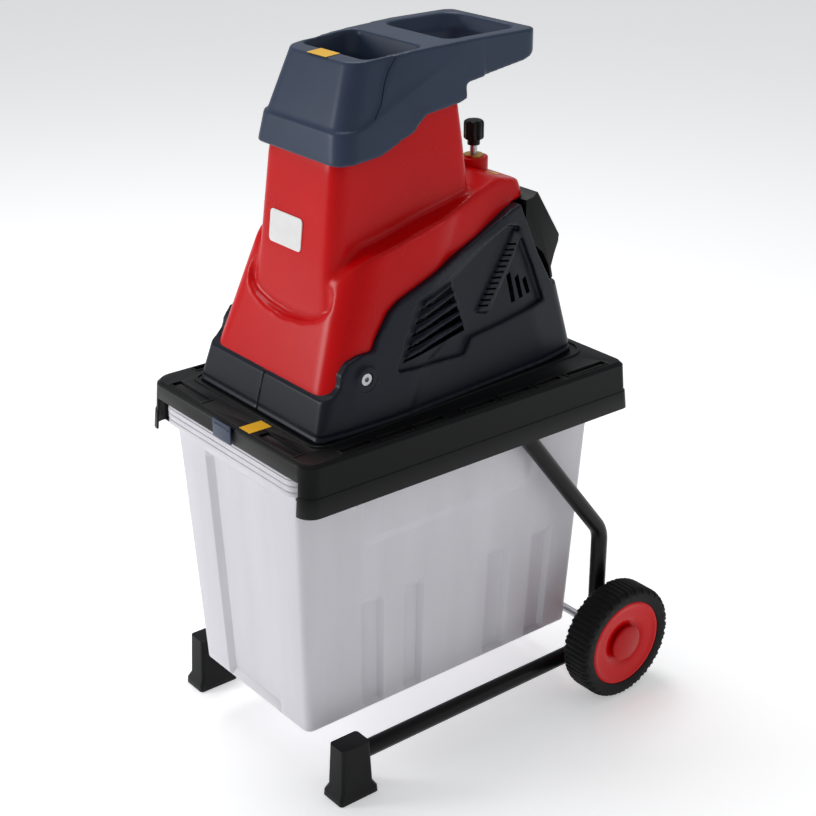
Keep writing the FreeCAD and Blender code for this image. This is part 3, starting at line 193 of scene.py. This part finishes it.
def plain_gloss(name, colour, roughness=0.25, **more):
    """A small smooth moulding or a label film, with only a faint drift in its tone."""
    material, tree, shader = blank_material(name, Roughness=roughness, **more)
    place = add_node(tree, "ShaderNodeTexCoord").outputs["Object"]
    drift = add_node(
        tree, "ShaderNodeTexNoise", {"Scale": 60.0, "Detail": 2.0}, {"Vector": place}
    )
    base = linear(colour)
    dull = (*(channel * 0.96 for channel in base[:3]), 1.0)
    tone = add_node(
        tree, "ShaderNodeValToRGB", {"stops": ((0.35, dull), (0.65, base))},
        {"Fac": drift.outputs["Fac"]},
    )
    tree.links.new(tone.outputs["Color"], shader.inputs["Base Color"])
    return material


MATERIALS = {
    "black_tube": moulded(
        "satin_powder_coat", "#111113", "#0c0c0e", 0.3, grain_mm=1.2, depth_mm=0.05),
    "black_plastic": moulded("black_polypropylene", "#0f1012", "#0b0c0d", 0.4),
    "dark_plastic": moulded("charcoal_polypropylene", "#181d29", "#131721", 0.36),
    "slate_plastic": moulded("slate_polypropylene", "#3a465c", "#323c4f", 0.34),
    "red_plastic": moulded(
        "red_abs", "#d4050a", "#c60308", 0.28, grain_mm=0.9, depth_mm=0.02),
    "red_cap": moulded("red_abs_cap", "#c5060a", "#b00408", 0.3),
    "tyre": moulded(
        "solid_rubber", "#131314", "#0e0e0f", 0.6, grain_mm=1.0, depth_mm=0.08),
    "box_plastic": translucent_polypropylene(),
    "steel": metal("zinc_plated_steel", "#b9babd", 0.32),
    "brass": metal("turned_brass", "#c9a14e", 0.3),
    "cast_iron": metal("machined_cast_iron", "#55565a", 0.5, grain_mm=1.5),
    "aluminium": metal("die_cast_aluminium", "#a3a5a8", 0.45, grain_mm=1.2),
    "switch_plastic": moulded("black_nylon", "#1d1d1f", "#161618", 0.35),
    "green_button": plain_gloss("green_nylon", "#128a3c"),
    "red_button": plain_gloss("red_nylon", "#c4161c"),
    "clear_boot": plain_gloss(
        "clear_silicone", "#dfe3e6", 0.12, Transmission_Weight=0.6, IOR=1.41),
    "white_plate": plain_gloss("white_label_film", "#f1f1ef", 0.35),
    "yellow_label": plain_gloss("yellow_label_film", "#f2b90f", 0.35),
}

for entry in frame["record"]["subparts"]:
    thing = nodes[entry["node"]]
    thing.data.materials.clear()
    thing.data.materials.append(MATERIALS[entry["material_slot"]])
    for face in thing.data.polygons:
        face.use_smooth = False


# -------------------------------------------------------------- modelling tools

def leave_edit():
    """Go back to object mode, with nothing selected."""
    if bpy.context.mode != "OBJECT":
        bpy.ops.object.mode_set(mode="OBJECT")
    bpy.ops.object.select_all(action="DESELECT")


def select_only(piece):
    """Make one piece active and the only one selected, in object mode."""
    leave_edit()
    piece.select_set(True)
    bpy.context.view_layer.objects.active = piece


def enter_edit(piece):
    """Make one piece active, the only one selected, and in edit mode."""
    select_only(piece)
    bpy.ops.object.mode_set(mode="EDIT")


def block(name, low, high):
    """A new closed block between two corners (mm), left in edit mode to be shaped."""
    leave_edit()
    bpy.ops.mesh.primitive_cube_add(size=1, location=(0, 0, 0))
    piece = bpy.context.object
    piece.name = name
    low, high = Vector(low) * MM, Vector(high) * MM
    bpy.ops.object.mode_set(mode="EDIT")
    bpy.ops.mesh.select_all(action="SELECT")
    bpy.ops.transform.resize(value=high - low)
    bpy.ops.transform.translate(value=(high + low) / 2)
    return piece


def pick(test, kind="FACE"):
    """Select the faces, edges or vertices of the piece in edit mode that pass a test."""
    bpy.ops.mesh.select_mode(type=kind)
    bpy.ops.mesh.select_all(action="DESELECT")
    mesh = bmesh.from_edit_mesh(bpy.context.edit_object.data)
    for item in {"VERT": mesh.verts, "EDGE": mesh.edges, "FACE": mesh.faces}[kind]:
        if test(item):
            item.select_set(True)
    bmesh.update_edit_mesh(bpy.context.edit_object.data)


def middle(item):
    """The centre of a face or an edge, in mm."""
    if hasattr(item, "calc_center_median"):
        return item.calc_center_median() / MM
    return (item.verts[0].co + item.verts[1].co) / 2 / MM


def slice_at(axis, *places):
    """Cut an edge loop round the whole piece at each place (mm) along an axis."""
    normal = Vector((axis == "X", axis == "Y", axis == "Z"))
    for spot in places:
        bpy.ops.mesh.select_all(action="SELECT")
        bpy.ops.mesh.bisect(plane_co=normal * spot * MM, plane_no=normal)


def move(*offset):
    """Shift what is selected (mm)."""
    bpy.ops.transform.translate(value=Vector(offset) * MM)


def stretch(factors, pivot):
    """Scale what is selected about a point (mm)."""
    bpy.ops.transform.resize(value=factors, center_override=Vector(pivot) * MM)


def loft(name, rings):
    """A closed solid through rings of matching points (mm), left in edit mode."""
    leave_edit()
    bpy.ops.mesh.primitive_circle_add(
        vertices=len(rings[0]), fill_type="NGON", location=(0, 0, 0))
    piece = bpy.context.object
    piece.name = name
    bpy.ops.object.mode_set(mode="EDIT")
    mesh = bmesh.from_edit_mesh(piece.data)
    order = {tuple(vert.co): number for number, vert in enumerate(mesh.verts)}
    for step, ring in enumerate(rings):
        if step:
            bpy.ops.mesh.extrude_region()
            mesh = bmesh.from_edit_mesh(piece.data)
        placed = {}
        for vert in mesh.verts:
            if vert.select:
                number = order[tuple(vert.co)]
                vert.co = Vector(ring[number]) * MM
                placed[tuple(vert.co)] = number
        order = placed
        bmesh.update_edit_mesh(piece.data)
    bpy.ops.mesh.select_all(action="SELECT")
    bpy.ops.mesh.normals_make_consistent(inside=False)
    return piece


def prism(name, outline, low, high, axis="X"):
    """A solid with one flat outline (mm) run along an axis; the outline gives the other two."""
    def ring(place):
        if axis == "X":
            return [(place, a, b) for a, b in outline]
        if axis == "Y":
            return [(a, place, b) for a, b in outline]
        return [(a, b, place) for a, b in outline]
    return loft(name, [ring(low), ring(high)])


def rod(radius, low, high, a, b, axis="X", sides=64):
    """A round bar (mm) between two places on an axis, to join to a piece or cut from it."""
    turns = [math.tau * step / sides for step in range(sides)]
    circle = [(a + radius * math.cos(t), b + radius * math.sin(t)) for t in turns]
    return prism("rod", circle, low, high, axis)


def plan(corners, z, steps=6):
    """A plan outline at one height, from (x, y, radius) corners down its right side,
    mirrored to the left."""
    spots = [(Vector((x, y)), r) for x, y, r in corners]
    spots += [(Vector((-x, y)), r) for x, y, r in reversed(corners)]
    ring = []
    for number, (spot, radius) in enumerate(spots):
        before = (spots[number - 1][0] - spot).normalized()
        after = (spots[(number + 1) % len(spots)][0] - spot).normalized()
        half_turn = before.angle(after) / 2
        centre = spot + (before + after).normalized() * (radius / math.sin(half_turn))
        first = spot + before * (radius / math.tan(half_turn)) - centre
        last = spot + after * (radius / math.tan(half_turn)) - centre
        sweep = first.angle_signed(last)
        for step in range(steps + 1):
            point = centre + Matrix.Rotation(-sweep * step / steps, 2) @ first
            ring.append((point.x, point.y, z))
    return ring


def apply_modifier(piece, kind, **settings):
    """Add one modifier to a piece and apply it."""
    select_only(piece)
    modifier = piece.modifiers.new(kind.lower(), kind)
    for name, value in settings.items():
        setattr(modifier, name, value)
    bpy.ops.object.modifier_apply(modifier=modifier.name)


def combine(piece, others, operation="DIFFERENCE"):
    """Cut other closed solids from a piece, join them to it or keep what they share."""
    for other in others:
        apply_modifier(piece, "BOOLEAN", object=other, operation=operation, solver="MANIFOLD")
        bpy.data.objects.remove(other, do_unlink=True)


def melt(piece, voxel, rounds):
    """Rebuild a solid as one even skin and relax it, so that its edges turn into soft fillets."""
    apply_modifier(piece, "REMESH", mode="VOXEL", voxel_size=voxel * MM)
    apply_modifier(piece, "SMOOTH", factor=0.5, iterations=rounds)


def open_up(piece, test):
    """Delete the faces that pass a test, so that a wall can be given to what is left."""
    enter_edit(piece)
    pick(test)
    bpy.ops.mesh.delete(type="FACE")


def merge_doubles():
    """Select all of the piece in edit mode and weld the points that lie on each other."""
    bpy.ops.mesh.select_all(action="SELECT")
    bpy.ops.mesh.remove_doubles(threshold=0.01 * MM)


def finish_piece(piece, material, body, *replaced, bevel=0.0, segments=3, angle=30, smooth=35,
                 wall=0.0):
    """Weld a piece, apply its wall and bevel (mm), and hand it to the frame."""
    enter_edit(piece)
    merge_doubles()
    bpy.ops.mesh.normals_make_consistent(inside=False)
    select_only(piece)
    if wall:
        apply_modifier(
            piece, "SOLIDIFY", thickness=wall * MM, offset=-1, use_even_offset=True)
    if bevel:
        apply_modifier(
            piece, "BEVEL", width=bevel * MM, segments=segments, limit_method="ANGLE",
            angle_limit=math.radians(angle), harden_normals=False)
    bpy.ops.object.shade_smooth_by_angle(angle=math.radians(smooth))
    piece.data.materials.clear()
    piece.data.materials.append(MATERIALS[material])
    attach(piece, body)
    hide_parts(*replaced)


# -------------------------------------------------------------- collection box

BOX_CHANNELS = ((-192, -152), (-115, -80), (41, 86), (123, 168))
BOX_CHANNEL_TOP = 262
BOX_GRIP = (-172, 100)
BOX_PANEL_HALF = 66
BOX_FOOT_HALF = 128


def collection_box():
    """The bin: corner pillars, a set-back front panel, channelled sides with arched tops,
    a hand-grip swelling under the rim and three stacked ribs round the rim."""
    low, high = (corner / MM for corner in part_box("collection_box"))
    rim, foot, top = 12, low.z, high.z
    relief, lip = 9, 1.5
    half, front, rear = high.x - rim, low.y + rim - 3, high.y - rim
    centre_y, reach = (front + rear) / 2, (rear - front) / 2
    piece = block("collection_box_shell", (-half, front, foot), (half, rear, top))
    for start, end in BOX_CHANNELS:
        slice_at("Y", start, start + 6, end - 6, end)
    slice_at("Y", -196, 128, *BOX_GRIP)
    slice_at("X", -74, -BOX_PANEL_HALF, BOX_PANEL_HALF, 74)
    slice_at("Z", foot + 8, BOX_CHANNEL_TOP - 14, BOX_CHANNEL_TOP, 345, 362, 408, 430, 440)
    rib_levels = (top - 26, top - 20, top - 17.5, top - 11.5, top - 9, top - 3)
    slice_at("Z", *rib_levels)
    for side in (-1, 1):
        for start, end in BOX_CHANNELS:
            pick(lambda f: f.normal.x * side > 0.9 and start + 6 < middle(f).y < end - 6
                 and foot + 8 < middle(f).z < BOX_CHANNEL_TOP - 14)
            move(-relief * side, 0, 0)
        pick(lambda f: f.normal.x * side > 0.9 and BOX_GRIP[0] < middle(f).y < BOX_GRIP[1]
             and 362 < middle(f).z < 430)
        move(relief * side, 0, 0)
    pick(lambda f: f.normal.y < -0.9 and abs(middle(f).x) < BOX_PANEL_HALF
         and foot + 8 < middle(f).z < 430)
    move(0, relief, 0)
    # The walls draw in evenly from the lowest rib down to the foot.
    mesh = bmesh.from_edit_mesh(piece.data)
    for level in sorted({round(v.co.z / MM, 2) for v in mesh.verts}):
        drop = max(0, rib_levels[0] - level) / (rib_levels[0] - foot)
        pick(lambda v: abs(v.co.z / MM - level) < 0.1, "VERT")
        narrow = 1 - drop * (1 - BOX_FOOT_HALF / half)
        shorten = 1 - drop * 16 / reach
        stretch((narrow, shorten, 1), (0, centre_y, level))
    pick(lambda e: abs((e.verts[0].co - e.verts[1].co).normalized().z) > 0.9
         and abs(middle(e).y - centre_y) > reach - 17.5
         and abs(middle(e).x) > 127 * (1 if middle(e).z < 200 else 1.05), "EDGE")
    bpy.ops.mesh.bevel(offset=11 * MM, segments=4, clamp_overlap=True)
    pick(lambda f: abs(f.normal.z) < 0.5 and middle(f).z > rib_levels[0])
    bpy.ops.mesh.extrude_region_shrink_fatten(
        TRANSFORM_OT_shrink_fatten={"value": (rim - lip) * MM})
    for start, end in zip(rib_levels[::2], rib_levels[1::2]):
        pick(lambda f: abs(f.normal.z) < 0.5 and start < middle(f).z < end
             and max(abs(middle(f).x) - half, abs(middle(f).y - centre_y) - reach) > 4)
        bpy.ops.mesh.extrude_region_shrink_fatten(
            TRANSFORM_OT_shrink_fatten={"value": lip * MM})
    pick(lambda f: f.normal.z > 0.9 and middle(f).z > top - 1
         and abs(middle(f).x) < half - 4 and abs(middle(f).y - centre_y) < reach - 4)
    bpy.ops.mesh.delete(type="FACE")
    finish_piece(
        piece, "box_plastic", "box", "collection_box", wall=2.2, bevel=1.6, angle=25)


# ------------------------------------------------------------- hopper and tower

HOUSING_FOOT = 512
HOUSING_RISE = 233


def housing_ring(z, inset, corner):
    """The casing's plan outline at a height: it leans in on every side as it rises."""
    rise = (z - HOUSING_FOOT) / HOUSING_RISE
    lean = 16 * rise + inset
    front = -253 + 72 * rise + inset
    rear = 225 - 60 * rise - inset
    return plan([
        (140 - lean, front, corner), (144 - lean, front + 45, 60), (143 - lean, front + 140, 120),
        (120 - lean, rear - 75, 160), (104 - lean, rear, 26),
    ], z)


def housing_loft(name, inset, low, high):
    """The casing's outer form between two heights, a little smaller by the inset."""
    return loft(name, [housing_ring(low, inset, 10), housing_ring(high, inset, 34)])


# Outlines seen from the side, as (y, z) points.
SIDE_SEAM = (
    (-238, 563), (-222, 571), (-214, 580), (-211, 594), (-200, 608), (-184, 614), (-161, 615),
    (-153, 630), (-131, 658), (-114, 669), (-59, 688), (-5, 707), (25, 717), (99, 741), (120, 744),
)
SHOULDER = (
    (-236, 560), (-213, 662), (-195, 690), (-166, 718), (-143, 731), (-106, 738), (-55, 751),
    (9, 764), (44, 773), (95, 781), (146, 767), (158, 752), (150, 746), (112, 742), (112, 560),
)
# The feed tower's rows: height, half width, front and rear.
TOWER = (
    (630, 93, -194, 62), (654, 91, -193.5, 60), (712, 84, -188, 56), (835, 80, -173, 42),
    (893, 76.5, -159.6, 35),
)
SCREW_Y = 118


def tower_loft(name, inset, low=630, high=893):
    """The feed tower between two heights, a little smaller by the inset."""
    rows = [row for row in TOWER if low <= row[0] <= high]
    if high > TOWER[-1][0]:
        rows.append((high, *TOWER[-1][1:]))
    return loft(name, [
        plan([(half - inset, front + inset, 20), (half - 4 - inset, rear - inset, 16)], z)
        for z, half, front, rear in rows
    ])


def upper_housing():
    """The glossy red casing: shoulders that sweep up into the tower, an arched ledge under
    its front panel and the boss that holds the pressure screw."""
    wall = 2.8
    shoulder = loft("upper_housing_shell", [
        housing_ring(560, 3.4, 30), housing_ring(790, 15.4, 42)])
    combine(shoulder, [prism("outline", SHOULDER, -200, 200)], "INTERSECT")
    arch = [(-93, 668), (-84, 655), (-66, 645), (-40, 638), (0, 634)]
    arch += [(-x, z) for x, z in reversed(arch[:-1])]
    panel = arch + [(93, 820), (-93, 820)]
    combine(shoulder, [loft("panel", [
        [(x, -300, z) for x, z in panel],
        [(x * 0.98, -189 if z < 700 else -178, z) for x, z in panel],
    ])])
    combine(shoulder, [tower_loft("tower", 0)], "UNION")
    melt(shoulder, wall, 15)
    open_up(shoulder, lambda f: (f.normal.z < -0.7 and middle(f).z < 566)
            or (f.normal.z > 0.7 and middle(f).z > 889))
    apply_modifier(
        shoulder, "SOLIDIFY", thickness=wall * MM, offset=-1, use_even_offset=False)
    boss = rod(20, 750, 790, 0, SCREW_Y, "Z")
    apply_modifier(boss, "BEVEL", width=1.5 * MM, segments=3)
    combine(shoulder, [boss], "UNION")
    bore = rod(9.05, 740, 800, 0, SCREW_Y, "Z")
    lap = [(y + 4, z - 7) for y, z in SIDE_SEAM[3:]]
    behind = prism(
        "behind", [(-206, 540), (-206, 585)] + lap + [(132, 735), (132, 540)], -200, 200)
    combine(shoulder, [bore, behind])
    finish_piece(shoulder, "red_plastic", "chassis", "upper_housing", smooth=40)


CAP_SIDE = (
    (-190, 842), (-114, 850), (-84, 863), (-63, 870), (-40, 889), (14, 896), (26, 900), (27, 919),
    (126, 934), (146, 941), (153, 952), (149, 973.8), (40, 973.3), (-40, 970), (-150, 962),
    (-190, 956),
)
CAP_STEP = 885


def cap_ring(z, inset):
    """The hopper's plan outline at a height: its front leans back faster above the skirt."""
    rise = (z - 844) / 130
    lean = 0.17 if z <= CAP_STEP else 0.38
    front = -172 + lean * (z - CAP_STEP) + inset
    half, rear_half = 99 - 23 * rise - inset, 99 - 9 * rise - inset
    return plan([(half, front, 26), (rear_half, 60, 8)], z, 8)


def hopper_cap():
    """The hopper: a skirt with a proud lower band, a dished feed slot and the handle's loop."""
    cap = loft("hopper_cap_shell", [cap_ring(z, 0) for z in (836, CAP_STEP, 980)])
    handle = loft("handle", [plan([(89.5, 42, 2), (90, 153, 24)], z, 8) for z in (897, 980)])
    combine(cap, [handle], "UNION")
    combine(cap, [prism("profile", CAP_SIDE, -150, 150)], "INTERSECT")
    nose_line = [
        (-176, 883), (-140, 886), (-121, 895), (-109, 912), (-101, 935), (-93, 950), (-76, 969)]
    nose = prism("nose", nose_line + [(-60, 1000), (-230, 1000), (-230, 883)], -150, 150)
    combine(nose, [loft("core", [cap_ring(z, 3.0) for z in (830, CAP_STEP, 990)])])
    combine(cap, [nose])
    slot = loft("slot", [
        plan([(half, front, 14), (half + 3, rear, 14)], z)
        for z, half, front, rear in ((880, 62, -105, -38), (940, 65, -110, -34), (990, 76, -124, -24))
    ])
    loop = loft("loop", [
        plan([(half, front, 16), (half - 2, rear, 22)], z)
        for z, half, front, rear in ((880, 62, 20, 128), (955, 63, 20, 129), (990, 76, 8, 141))
    ])
    combine(cap, [slot, loop])
    melt(cap, 1.8, 12)
    back_line = [(y + 1.6, z + 0.6) for y, z in reversed(nose_line)]
    groove = prism("groove", nose_line + back_line, -150, 150)
    combine(groove, [loft("groove_floor", [cap_ring(z, 4.2) for z in (830, CAP_STEP, 990)])])
    combine(cap, [groove])
    tower = tower_loft("tower", -0.3, 712, 893.3)
    under = loft("under", [cap_ring(z, 6.2) for z in (836, CAP_STEP, 892)])
    rear = prism("rear", [(-150, 20), (150, 20), (150, 100), (-150, 100)], 800, 900, "Z")
    combine(under, [rear])
    shaft = loft("shaft", [plan([(66, -108, 14), (68, -36, 14)], z) for z in (870, 945)])
    combine(cap, [tower, under, shaft])
    finish_piece(cap, "slate_plastic", "chassis", "hopper_cap", smooth=50)


# ---------------------------------------------------------------- lower casing

RECESS = (
    (-124, 577), (-4, 568), (11, 588), (67, 592), (158, 602), (140, 650),
    (112, 716), (90, 722), (-5, 690), (-59, 671), (-88, 660),
)


SIDE_BOSS = (-175, 582.5)
FAN_ROWS = 5


def fan_row(row):
    """The front and rear ends of one row of the fan-shaped grille: y, z, y, z."""
    return -112 + 8 * row, 584 + 15.5 * row, 4 - 5 * row, 598 + 14.5 * row


def fan_slot(row):
    """The air slot of one row: narrow in front and wider to the rear."""
    y0, z0, y1, z1 = fan_row(row)
    return [(y0, z0), (y1, z1), (y1 - 3, z1 + 9.5), (y0 + 4, z0 + 5)]


def fan_bar(row):
    """The slanting bar over one row's slot."""
    y0, z0, y1, z1 = fan_row(row)
    return [(y0 + 4, z0 + 6), (y1 - 3, z1 + 10.5), (y1 - 3, z1 + 13.5), (y0 + 8, z0 + 13.5)]


def lower_shell(side):
    """One half of the dark casing: a proud sill, a grille sunk into its flank and a screw boss."""
    name = "lower_shell_right" if side > 0 else "lower_shell_left"
    near, far = sorted((0, 200 * side))
    shell = housing_loft(name + "_skin", 0, 508, 755)
    region = [
        (-300, 512), (-300, 563), *SIDE_SEAM, (126, 728), (150, 672), (178, 620), (260, 611),
        (260, 512),
    ]
    combine(shell, [prism("region", region, near, far)], "INTERSECT")
    recess = prism("recess", RECESS, near, far)
    combine(recess, [housing_loft("floor_of_recess", 7, 500, 790)])
    for row in range(FAN_ROWS):
        bar = prism("bar", fan_bar(row), near, far)
        combine(bar, [housing_loft("bar_face", 1.5, 500, 790)], "INTERSECT")
        combine(recess, [bar])
    ridge = prism("ridge", [(26, 618), (48, 612), (122, 704), (104, 712)], near, far)
    combine(ridge, [housing_loft("ridge_face", 2.5, 500, 790)], "INTERSECT")
    combine(recess, [ridge])
    combine(shell, [recess])
    sill = prism("sill", [(-300, 517), (-300, 522), (260, 522), (260, 517)], near, far)
    combine(sill, [housing_loft("sill_face", 1.2, 500, 790)])
    combine(shell, [sill])
    boss = rod(16.5, *sorted((115 * side, 141.5 * side)), *SIDE_BOSS)
    combine(shell, [boss], "UNION")
    melt(shell, 1.9, 5)
    open_up(shell, lambda f: (f.normal.x * side < -0.7 and abs(middle(f).x) < 3)
            or (f.normal.z < -0.7 and middle(f).z < 515))
    apply_modifier(shell, "SOLIDIFY", thickness=2.6 * MM, offset=-1, use_even_offset=False)
    slots = [fan_slot(row) for row in range(FAN_ROWS)]
    for step in range(12):
        y, z = 31 + 5.4 * step, 624 + 6.4 * step
        slots.append([(y, z), (y + 16, z - 3), (y + 16, z - 0.2), (y, z + 2.8)])
    for step in range(3):
        y = 96 + 16 * step
        slots.append([
            (y, 612 + 2 * step), (y + 8, 613 + 2 * step), (y, 656 - 7 * step),
            (y - 8, 652 - 7 * step),
        ])
    combine(shell, [prism("slot", corners, near, far) for corners in slots])
    combine(shell, [rod(9, *sorted((134 * side, 150 * side)), *SIDE_BOSS)])
    finish_piece(shell, "dark_plastic", "chassis", name, smooth=40)


# -------------------------------------------------------------------- platform

# The pockets along each side of the deck, from front to rear, as (y, y).
SIDE_POCKETS = (
    (-240, -194), (-180, -129), (-122, -76), (-41, 11), (24, 75), (88, 132), (145, 217))


def deck_ring(z, out, corner=22):
    """The platform's plan outline at a height, let out or drawn in on every side."""
    return plan([(184 + out, -302 - out, corner), (184 + out, 247 + out, corner / 2)], z)


def tile(name, x0, x1, y0, y1, low, high):
    """A flat oblong (mm) between two heights."""
    return prism(name, [(x0, y0), (x1, y0), (x1, y1), (x0, y1)], low, high, "Z")


def platform():
    """The moulded deck: a two-band skirt, framed pockets along its edges and a track
    round the casing's foot, with the doorway for the bin in front."""
    deck = loft("platform_shell", [deck_ring(z, out) for z, out in (
        (442, 5.4), (468, 3.4), (468.6, 2.2), (507, 0), (512, -4))])
    pockets = []
    for side in (-1, 1):
        pockets += [(side * 169.5 - 5, side * 169.5 + 5, *ends) for ends in SIDE_POCKETS]
        pockets.append((*sorted((66 * side, 145 * side)), -293, -278))
    track = loft("track", [plan([(150, -262, 18), (124, 234, 34)], z) for z in (505, 514.2)])
    combine(track, [loft("track_inside", [
        plan([(146, -258, 16), (120, 230, 32)], z) for z in (500, 520)])])
    combine(deck, [track], "UNION")
    for x0, x1, y0, y1 in pockets:
        combine(deck, [tile("ledge", x0 - 2, x1 + 2, y0 - 2, y1 + 2, 508, 513.2)], "UNION")
    cuts = [
        loft("hollow", [deck_ring(z, out, 19) for z, out in ((441, 2.9), (508, -2.6))]),
        prism("door", [(-166, 430), (166, 430), (166, 487), (-166, 487)], -330, -282, "Y"),
        tile("chute", -46, 46, -66, 50, 500, 520),
        prism("latch_gap", [(-7, 482), (7, 482), (7, 504), (-7, 504)], -322, -296, "Y"),
    ]
    cuts += [tile("pocket", *pocket, 509.4, 520) for pocket in pockets]
    cuts += [rod(4.2, 490, 510.5, 173.5 * side, at, "Z", 24)
             for side in (-1, 1) for at in (-226, -49)]
    combine(deck, cuts)
    finish_piece(
        deck, "black_plastic", "chassis", "platform", bevel=0.9, segments=2, angle=35)


# ---------------------------------------------------------------------- wheels

# The axle's line, as y and z.
AXLE_LINE = (220, 87.5)
AXLE_BORE = 6.06


def revolve(name, profile, count, side, shape=None):
    """A solid turned about the axle's line, from (x, radius) pairs for the right-hand wheel;
    shape may lower the radius round it."""
    rings = []
    for x, radius in profile:
        ring = []
        for step in range(count):
            turn = math.tau * step / count
            reach = radius - (shape(step, radius) if shape else 0)
            ring.append((x * side, AXLE_LINE[0] + reach * math.cos(turn),
                         AXLE_LINE[1] + reach * math.sin(turn)))
        rings.append(ring)
    return loft(name, rings)


def tread(step, radius):
    """How deep the tread lies: 64 crosswise ribs, and 32 deeper notches in each shoulder."""
    if radius < 80:
        return 0
    depth = 1.7 if step % 4 >= 2 else 0
    if radius < 87 and step % 8 in (2, 3, 4):
        depth = 3.4
    return depth


def wheel(side):
    """A block-treaded tyre and the red rim with its rolled bead and dished middle."""
    hand = "right" if side > 0 else "left"
    body = "wheel_" + hand
    profile = [
        (198, 64), (196, 68), (195.4, 79), (197, 84), (200, 86.6), (203, 87.5), (236, 87.5),
        (239, 86.6), (242, 84), (243.6, 79), (243, 70), (240.5, 64),
    ]
    rubber = revolve("tyre_tread_" + hand, profile, 256, side, tread)
    combine(rubber, [revolve("bead_seat", [(190, 66), (250, 66)], 96, side)])
    finish_piece(rubber, "tyre", body, "tyre_" + hand, smooth=28)
    rim = [
        (197.2, AXLE_BORE), (197.2, 14), (229, 14), (231, 36), (231, 58), (198.2, 62),
        (198.2, 65.9), (240, 65.9), (241.2, 64.6), (241.6, 62.5), (241.2, 60.5), (240.2, 58.5),
        (239.4, 52), (238.6, 42), (237.6, 37), (235.6, 33), (234.2, 28), (234, AXLE_BORE),
    ]
    disc = revolve("rim_disc_" + hand, rim, 128, side)
    combine(disc, [revolve("axle_bore", [(190, AXLE_BORE), (250, AXLE_BORE)], 48, side)])
    finish_piece(
        disc, "red_plastic", body, "wheel_rim_" + hand, bevel=0.4, segments=2, angle=50)


# ------------------------------------------------------- knob and rounded copies

KNOB_STEPS = 96
FLUTE_STEPS = 12


def knob_ring(z, radius, depth):
    """The knob's outline at a height: a circle that dips by the depth in each flute."""
    ring = []
    for step in range(KNOB_STEPS):
        dip = depth * (0.5 - 0.5 * math.cos(step * math.tau / FLUTE_STEPS)) ** 2
        turn = step * math.tau / KNOB_STEPS
        reach = radius - dip
        ring.append((reach * math.cos(turn), SCREW_Y + reach * math.sin(turn), z))
    return ring


def hand_knob():
    """The fluted knob on the pressure screw, with a collar under it."""
    knob = loft("adjusting_knob_grip", [knob_ring(*level) for level in (
        (806, 8.6, 0), (812.5, 8.6, 0), (814, 12.6, 0.8), (816, 13.9, 2.2), (836, 13.9, 2.2),
        (838.6, 13, 1.6), (839.8, 11, 0.2))])
    combine(knob, [rod(5, 805, 821, 0, SCREW_Y, "Z")])
    finish_piece(knob, "black_plastic", "knob", "adjusting_knob")


def softened(node, material, body, bevel):
    """A copy of a CAD piece with its sharp corners rounded as a mould leaves them."""
    piece = bpy.data.objects.new(node + "_rounded", nodes[node].data.copy())
    bpy.context.scene.collection.objects.link(piece)
    enter_edit(piece)
    merge_doubles()
    bpy.ops.mesh.dissolve_limited(angle_limit=math.radians(1))
    finish_piece(piece, material, body, node, bevel=bevel, angle=35)


collection_box()
upper_housing()
hopper_cap()
softened("control_box", "black_plastic", "chassis", 1.4)
softened("box_latch", "slate_plastic", "latch", 0.5)
for hand in ("left", "right"):
    softened("foot_" + hand, "black_plastic", "chassis", 1.6)
    softened("hub_cap_" + hand, "red_cap", "wheel_" + hand, 0.8)
for side in (1, -1):
    lower_shell(side)
    wheel(side)
platform()
hand_knob()


# ---------------------------------------------------------------- studio stage

def studio():
    """A pale floor, soft lights and an even pale surround."""
    bpy.ops.mesh.primitive_plane_add(size=14, location=(0, 0, cad_low.z - 0.5 * MM))
    floor = bpy.context.object
    floor.name = "floor"
    white = linear("#ffffff")
    paper = blank_material(
        "white_paper", Roughness=0.9, Base_Color=white, Emission_Color=white,
        Emission_Strength=0.35,
    )[0]
    floor.data.materials.append(paper)
    world = bpy.data.worlds.new("studio")
    bpy.context.scene.world = world
    world.use_nodes = True
    background = world.node_tree.nodes["Background"]
    background.inputs["Color"].default_value = linear("#f2f4f7")
    background.inputs["Strength"].default_value = 0.38
    bpy.context.scene.view_settings.view_transform = "Standard"
    for name, spot, aim, size, power in (
        ("key", (-1.9, -2.7, 1.3), (0, 0, 0.6), 0.9, 34),
        ("side", (2.6, 2.2, 1.2), (0, 0, 0.5), 0.8, 5),
        ("top", (-1.0, 0.3, 3.2), (0, 0, 0.8), 1.8, 46),
    ):
        light = bpy.data.lights.new(name, "AREA")
        light.energy = power
        light.size = size
        lamp = bpy.data.objects.new(name, light)
        lamp.location = spot
        lamp.rotation_euler = (Vector(spot) - Vector(aim)).to_track_quat("Z", "Y").to_euler()
        bpy.context.scene.collection.objects.link(lamp)


def aim_camera(turn=51.43, lift=24.18, roll=-0.15, distance=2.2915, focal_mm=72.4):
    """Stand the camera before the front right corner and point it a little below the middle."""
    az, el = math.radians(turn), math.radians(lift)
    back = Vector((math.sin(az) * math.cos(el), -math.cos(az) * math.cos(el), math.sin(el)))
    right = Vector((math.cos(az), math.sin(az), 0))
    up = back.cross(right)
    target = Vector((0, -0.042, 0.45)) + right * 0.03476 + up * 0.00608
    basis = Matrix((right, up, back)).transposed().to_4x4()
    lean = Matrix.Rotation(math.radians(roll), 4, back)
    data = bpy.data.cameras.new("camera")
    data.lens = focal_mm
    camera = bpy.data.objects.new("camera", data)
    camera.matrix_world = Matrix.Translation(target + back * distance) @ lean @ basis
    bpy.context.scene.collection.objects.link(camera)
    bpy.context.scene.camera = camera


studio()
aim_camera()
